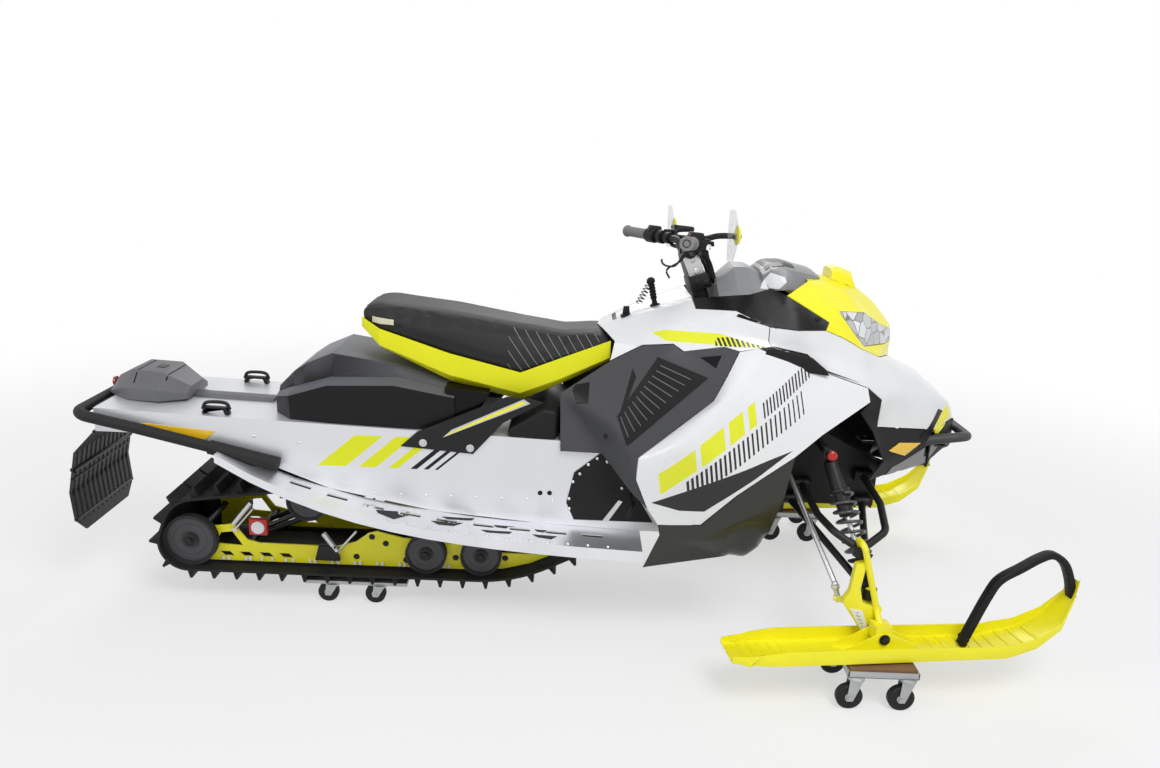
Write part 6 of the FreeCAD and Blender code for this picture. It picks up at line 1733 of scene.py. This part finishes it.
@dataclass
class Dollies:
    """Wooden tops, steel frames, forks and wheels of the carriers.

    Attributes:
        middle: Centre of the left carrier as (x, y).
        half: Half width of a ski's carrier.
        wall: Thickness of its frame.
        rail: Height of its frame.
        floor: Height of the frame's underside.
        low_x: Rear and front end of the track's carrier.
        low_y: Half width of the track's carrier.
        swivel: Distance of a caster from the frame's ends along the machine.
        inset: Distance of a caster from the frame's sides.
    """

    middle: Pair = (0.918, 0.538)
    half: float = 0.098
    wall: float = 0.004
    rail: float = 0.019
    floor: float = 0.100
    low_x: Pair = (-0.805, -0.475)
    low_y: float = 0.160
    swivel: float = 0.026
    inset: float = 0.013

    @staticmethod
    def casters(spots: Iterable[Pair], radius: float, under: float) -> tuple[Form, Form]:
        """Tyres, hubs and forks of several casters.

        Args:
            spots: Places of the swivels.
            radius: Radius of the wheels.
            under: Height of the plate's underside.

        Returns:
            The tyres and the metal parts.
        """
        tyres, metal = [], []
        tread = ((-0.011, radius * 0.36), (-0.0115, radius * 0.88), (-0.008, radius), (0.008, radius),
                 (0.0115, radius * 0.88), (0.011, radius * 0.36))
        hub = ((-0.0125, radius * 0.22), (-0.0118, radius * 0.35), (0.0118, radius * 0.35),
               (0.0125, radius * 0.22))
        for x, y in spots:
            wheel = x - 0.014
            fork = ((wheel - 0.009, radius - 0.010), (wheel + 0.009, radius - 0.010),
                    (x + 0.019, under - 0.003), (x - 0.019, under - 0.003))
            tyres.append(lathe(tread, (wheel, y, radius), (0, 1, 0), 40))
            metal += [lathe(hub, (wheel, y, radius), (0, 1, 0), 28),
                      lathe(((-0.018, 0.006), (0.018, 0.006)), (wheel, y, radius), (0, 1, 0), 12),
                      lathe(((-0.008, 0.024), (-0.002, 0.024), (0.0, 0.020)), (x, y, under), (0, 0, 1), 24)]
            metal += [prism(fork, y + flank * 0.0130, y + flank * 0.0155, 0.0008) for flank in SIDES]
        return gathered(tyres), gathered(metal)

    def build(self, kit: Kit) -> None:
        """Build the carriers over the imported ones."""
        pairs = [(a, b) for a in SIDES for b in SIDES]
        middle, half = sum(self.low_x) / 2, (self.low_x[1] - self.low_x[0]) / 2
        spots = [(middle + a * (half - self.swivel) * 0.55, b * (self.low_y - self.inset)) for a, b in pairs]
        tyres, metal = self.casters(spots, 0.033, 0.0665)
        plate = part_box("track_dolly")[1][2]
        top = block(self.low_x, (-self.low_y, self.low_y), (plate - 0.012, plate), 0.002)
        kit.form("low_dolly_tyres", tyres, "bright_steel", look="caster_rubber", angle=30)
        kit.form("low_dolly_metal", gathered((metal, top)), "bright_steel", stands_for=("track_dolly",),
                 look="galvanised", angle=30)
        for side in Side:
            self.ski_carrier(kit, side, pairs)

    def ski_carrier(self, kit: Kit, side: Side, pairs: Iterable[tuple[int, int]]) -> None:
        """Build the carrier of one ski.

        Args:
            kit: Materials and bodies.
            side: Side of the ski.
            pairs: Corners of the carrier, as signs.
        """
        node, body = "ski_dolly_" + side.word, side.word + "_ski"
        x, y, half, floor = self.middle[0], side.value * self.middle[1], self.half, self.floor
        rise = (floor, floor + self.rail)
        spots = [(x + a * (half - self.swivel), y + b * (half - self.inset)) for a, b in pairs]
        tyres, metal = self.casters(spots, 0.037, floor)

        def span(middle: float, inset: float = 0.0) -> Pair:
            """Limits of the carrier along an axis."""
            return middle - half + inset, middle + half - inset

        def wall(middle: float, edge: int) -> Pair:
            """Limits of one wall of the frame."""
            return tuple(sorted((middle + edge * (half - self.wall), middle + edge * half)))

        bars = [metal]
        for edge in SIDES:
            bars += [block(span(x), wall(y, edge), rise, 0.0008), block(wall(x, edge), span(y), rise, 0.0008)]
        bars.append(block(span(x), span(y), (floor - 0.0005, floor + 0.003), 0.0008))
        board = block(span(x, 0.005), span(y, 0.005), (floor + 0.004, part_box(node)[1][2]))
        kit.form(node + "_board", board, "bright_steel", body, look="plywood")
        kit.form(node + "_tyres", tyres, "bright_steel", body, look="caster_rubber", angle=30)
        kit.form(node + "_frame", gathered(bars), "bright_steel", body, (node,), "galvanised", 30)


@dataclass
class Bar:
    """Steering bar with its grips, controls, levers and guards, turned as the machine is parked.

    Attributes:
        head: Foot of the steering axis.
        rake: Lean of the axis in degrees.
        turn: Parked turn in degrees.
        riser: Height of the bar over the head.
        sweep: How far the ends sweep back.
        span: Half length of the bar.
        rise: How far the ends rise.
        grip: Length of a grip.
        tube: Radius left free for the bar's tube.
        reaches: Length of each side's lever.
        hooks: Lines of the release levers' tips under the right grip, as (x, z).
    """

    head: Point = (0.418, 0.0, 1.046)
    rake: float = 21.0
    turn: float = 10.0
    riser: float = 0.128
    sweep: float = 0.112
    span: float = 0.372
    rise: float = 0.042
    grip: float = 0.122
    tube: float = 0.0118
    reaches: Pair = (0.070, 0.128)
    hooks: tuple[Outline, ...] = (
        ((0.334, 1.196), (0.320, 1.170), (0.307, 1.154), (0.285, 1.153), (0.272, 1.161), (0.269, 1.172)),
        ((0.338, 1.192), (0.324, 1.170), (0.306, 1.157), (0.292, 1.149), (0.285, 1.137), (0.295, 1.119)))

    def __post_init__(self) -> None:
        """Work out the axis, the bar's middle and the parked turn."""
        lean = math.radians(self.rake)
        self.up = Vector((-math.sin(lean), 0, math.cos(lean)))
        self.foot = Vector(self.head)
        self.middle = self.foot + self.up * self.riser
        self.parked = about(self.head, self.up, self.turn)

    def on_grip(self, side: int, inboard: float, ahead: Point = (0, 0, 0)) -> Vector:
        """Place along a straight bar, from a grip's outer end, with a shift."""
        end = self.middle + Vector((-self.sweep, side * self.span, self.rise))
        return end + self.inwards(side) * inboard + Vector(ahead)

    def inwards(self, side: int) -> Vector:
        """Direction from a grip's outer end to the middle."""
        return (Vector((0, side * 0.115, 0.7 * self.rise))
                - Vector((-self.sweep, side * self.span, self.rise))).normalized()

    def collar(self, at: Vector, axis: Point, half: float, radius: float, facets: int = 28) -> Form:
        """Ring clamped round the bar's tube."""
        return lathe(((-half, self.tube), (-half, radius), (half, radius), (half, self.tube)), at, axis, facets)

    def ribbed_grip(self, side: int) -> Form:
        """Grip with rings and flanges."""
        profile = [(0.001, 0.0125), (0.001, 0.0195), (0.007, 0.0200), (0.009, 0.0166)]
        for k in range(9):
            at = 0.014 + 0.0105 * k
            profile += [(at, 0.0164), (at + 0.0015, 0.0172), (at + 0.007, 0.0172), (at + 0.0085, 0.0164)]
        profile += [(0.110, 0.0166), (0.113, 0.0195), (0.119, 0.0195), (0.121, 0.0125)]
        return lathe(profile, self.on_grip(side, 0), self.inwards(side), 32)

    def cluster(self, side: int) -> Form:
        """Control housing inboard of a grip."""
        start = self.on_grip(side, self.grip + 0.0015)
        barrel = ((0.0, 0.0125), (0.0, 0.021), (0.004, 0.0245), (0.038, 0.0245), (0.043, 0.020),
                  (0.043, 0.0125))
        x, y, z = start + self.inwards(side) * 0.022
        over = prism(((x - 0.020, z + 0.012), (x + 0.030, z + 0.012), (x + 0.024, z + 0.031),
                      (x - 0.010, z + 0.034)), y - 0.019, y + 0.019, 0.004)
        front = prism(((x + 0.012, z - 0.016), (x + 0.047, z - 0.010), (x + 0.045, z + 0.014),
                       (x + 0.012, z + 0.018)), y - 0.017, y + 0.017, 0.004)
        return gathered((lathe(barrel, start, self.inwards(side), 28), over, front))

    def lever(self, side: int) -> Form:
        """Brake or throttle lever with a hooked tip."""
        root = self.grip + 0.0185
        reach = self.reaches[SIDES.index(side)]
        places = ((0, (0.030, 0, -0.004)), (0.012, (0.046, 0, -0.006)), (0.30 * reach, (0.052, 0, -0.008)),
                  (0.75 * reach, (0.048, 0, -0.010)), (reach, (0.052, 0, -0.010)))
        run = smooth_run([self.on_grip(side, root - out, ahead) for out, ahead in places])
        return sweep(run, oval(0.0042, 0.0068))

    def guard(self, side: int) -> Form:
        """Thin curved shield ahead of a grip."""
        centre = self.on_grip(side, 0.4 * self.grip, (0.118, 0, 0.024))
        bm = bmesh.new()
        rows = []
        for i in range(13):
            v = i / 12
            half = 0.045 * math.sin(math.pi * (0.12 + 0.76 * v)) ** 0.6
            bow = 0.0052 * (1 - (2 * v - 1) ** 2)
            places = [(bow + 0.0034 * (1 - u * u), u * half, (v - 0.5) * 0.140)
                      for u in (k / 10 * 2 - 1 for k in range(11))]
            rows.append([bm.verts.new(centre + Vector(place)) for place in places])
        for low, high in zip(rows, rows[1:]):
            for k in range(10):
                bm.faces.new((low[k], low[k + 1], high[k + 1], high[k]))
        bmesh.ops.solidify(bm, geom=bm.faces, thickness=0.0028)
        bmesh.ops.recalc_face_normals(bm, faces=bm.faces)
        return bm

    def badge(self, side: int) -> Form:
        """Bright boss on a guard's face."""
        at = self.on_grip(side, 0.4 * self.grip, (0.1335, 0, 0.026))
        leaf = lathe(((-0.004, 0.010), (0.0, 0.016), (0.006, 0.014), (0.010, 0.006)), at, (1, 0, 0), 20)
        bmesh.ops.scale(leaf, vec=(1, 1.3, 1.7), space=Matrix.Translation(-at), verts=leaf.verts)
        return leaf

    def stalk(self, side: int) -> Form:
        """Clamp and arm that carry a guard."""
        clamp, outer = self.grip + 0.0748, 0.4 * self.grip
        places = ((clamp, (0.014, 0, 0.006)), (clamp, (0.060, side * 0.010, 0.024)),
                  (clamp, (0.116, side * 0.040, 0.026)), (outer, (0.134, -side * 0.022, 0.022)),
                  (outer, (0.1315, side * 0.010, 0.022)))
        run = smooth_run([self.on_grip(side, inboard, ahead) for inboard, ahead in places])
        ring = self.collar(self.on_grip(side, clamp), self.inwards(side), 0.0085, 0.022)
        return gathered((ring, sweep(run, oval(0.0050, 0.0085))))

    def riser_plate(self, side: int) -> Form:
        """Bright plate with two bolts on one side of the riser."""
        foot, top = self.foot + self.up * 0.052, self.foot + self.up * 0.116
        lean = Vector((0.022, 0, 0.008))
        corners = (foot - lean, foot + lean, top + lean * 1.15, top - lean * 1.15)
        spots = (foot + self.up * 0.012, top - self.up * 0.014)
        bolts = [hex_bolt((at.x, side * 0.0265, at.z), (0, side, 0), 0.0062) for at in spots]
        return gathered([prism([(p.x, p.z) for p in corners], side * 0.0235, side * 0.0265, 0.0008)] + bolts)

    def riser_foot(self) -> Form:
        """Dark block at the riser's foot, with its bolts."""
        low, high = self.foot + self.up * 0.004, self.foot + self.up * 0.054
        lean = Vector((0.030, 0, 0.010))
        corners = (low - lean, low + lean * 1.2, high + lean, high - lean * 0.9)
        bolts = [hex_bolt((low.x + d, side * 0.031, low.z + 0.022), (0, side, 0), 0.0068) for side in SIDES
                 for d in (-0.016, 0.014)]
        return gathered([prism([(p.x, p.z) for p in corners], -0.031, 0.031, 0.004)] + bolts)

    def bar_clamp(self, side: int) -> Form:
        """Clamp that holds the bar on the riser, with two bolts."""
        at = self.middle + Vector((0, side * 0.022, 0))
        bolts = [hex_bolt(at + Vector((lean, 0, 0.017)), self.up, 0.0052) for lean in (-0.013, 0.013)]
        return gathered([self.collar(at, (0, 1, 0), 0.011, 0.021)] + bolts)

    def guard_mount(self, side: int) -> Form:
        """Collar and arm beside the riser."""
        x, y, z = at = self.on_grip(side, 0.232)
        arm = prism(((x + 0.010, z - 0.008), (x + 0.052, z - 0.006), (x + 0.050, z + 0.008),
                     (x + 0.010, z + 0.010)), y - 0.007, y + 0.007, 0.002)
        return gathered((self.collar(at, self.inwards(side), 0.009, 0.0185, 24), arm))

    def looms(self, side: int) -> Form:
        """Thick loom and two thin ones from a control housing to the column."""
        middle, root = self.middle, self.grip + 0.044
        path = [self.on_grip(side, root, (0.012, 0, 0.004)),
                self.on_grip(side, root + 0.040, (0.022, 0, 0.006)),
                self.on_grip(side, 0.225, (0.016, 0, -0.006)),
                middle + Vector((0.020, side * 0.060, 0.018)),
                middle + Vector((0.062, side * 0.026, -0.030)),
                middle + Vector((0.082, side * 0.020, -0.078)),
                self.foot + self.up * 0.030 + Vector((0.054, side * 0.012, 0))]
        runs = [rod(path, 0.0085, 7)]
        for drop in (Vector((0.004, 0, -0.018)), Vector((0.016, 0, 0.013))):
            runs.append(rod([p + drop for p in path[:4]] + path[4:], 0.0062, 7))
        return gathered(runs)

    def build(self, kit: Kit) -> None:
        """Build the steering bar's pieces."""
        def put(name: str, bm: Form, slot: str, look: Look = None, angle: float = 35.0, node: str = "") -> None:
            """Add one piece made for a straight bar."""
            kit.form(name, moved(bm, self.parked), slot, "steering_bar", (node,) if node else (), look, angle)

        put("grips_ribbed", paired(self.ribbed_grip), "grip_rubber", "worn_grip", 30, "grips")
        put("control_housings", paired(self.cluster), "black_plastic", None, 30, "bar_controls")
        put("control_levers", paired(self.lever), "black_plastic", "bare_alloy", 60)
        tips = gathered(rod([(x, -0.262, z) for x, z in line], 0.0028, 5, 8) for line in self.hooks)
        kit.form("lever_hooks", tips, "black_metal", "steering_bar", angle=60)
        put("guard_shields", paired(self.guard), "yellow_plastic", "clear_shield", 50, "hand_guards")
        put("guard_badges", paired(self.badge), "yellow_plastic", None, 50)
        put("guard_stalks", paired(self.stalk), "black_plastic", None, 40)
        button = lathe(((0, 0.0075), (0.010, 0.0075), (0.012, 0.0058)), (0.350, -0.245, 1.232),
                       (0, -0.3, 1), 20)
        kit.form("stop_button", button, "black_plastic", "steering_bar", look="red_cast")
        put("riser_plates", paired(self.riser_plate), "bright_steel")
        put("riser_foot", self.riser_foot(), "black_metal")
        put("bar_clamps", paired(self.bar_clamp), "black_metal", None, 30)
        put("guard_mounts", paired(self.guard_mount), "black_plastic", None, 30)
        put("wiring_looms", paired(self.looms), "black_plastic", None, 60)


def main() -> None:
    """Build the whole scene."""
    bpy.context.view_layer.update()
    Studio().build()
    kit = Kit()
    kit.dress_frame()
    for assembly in (Cowl(), CowlTrim(), Dash(), Tail(), Saddle(), TrackFittings(), Footing(), FrontEnd(),
                     Dollies(), Bar()):
        log.info("building %s", type(assembly).__name__)
        assembly.build(kit)


if __name__ == "__main__":
    main()
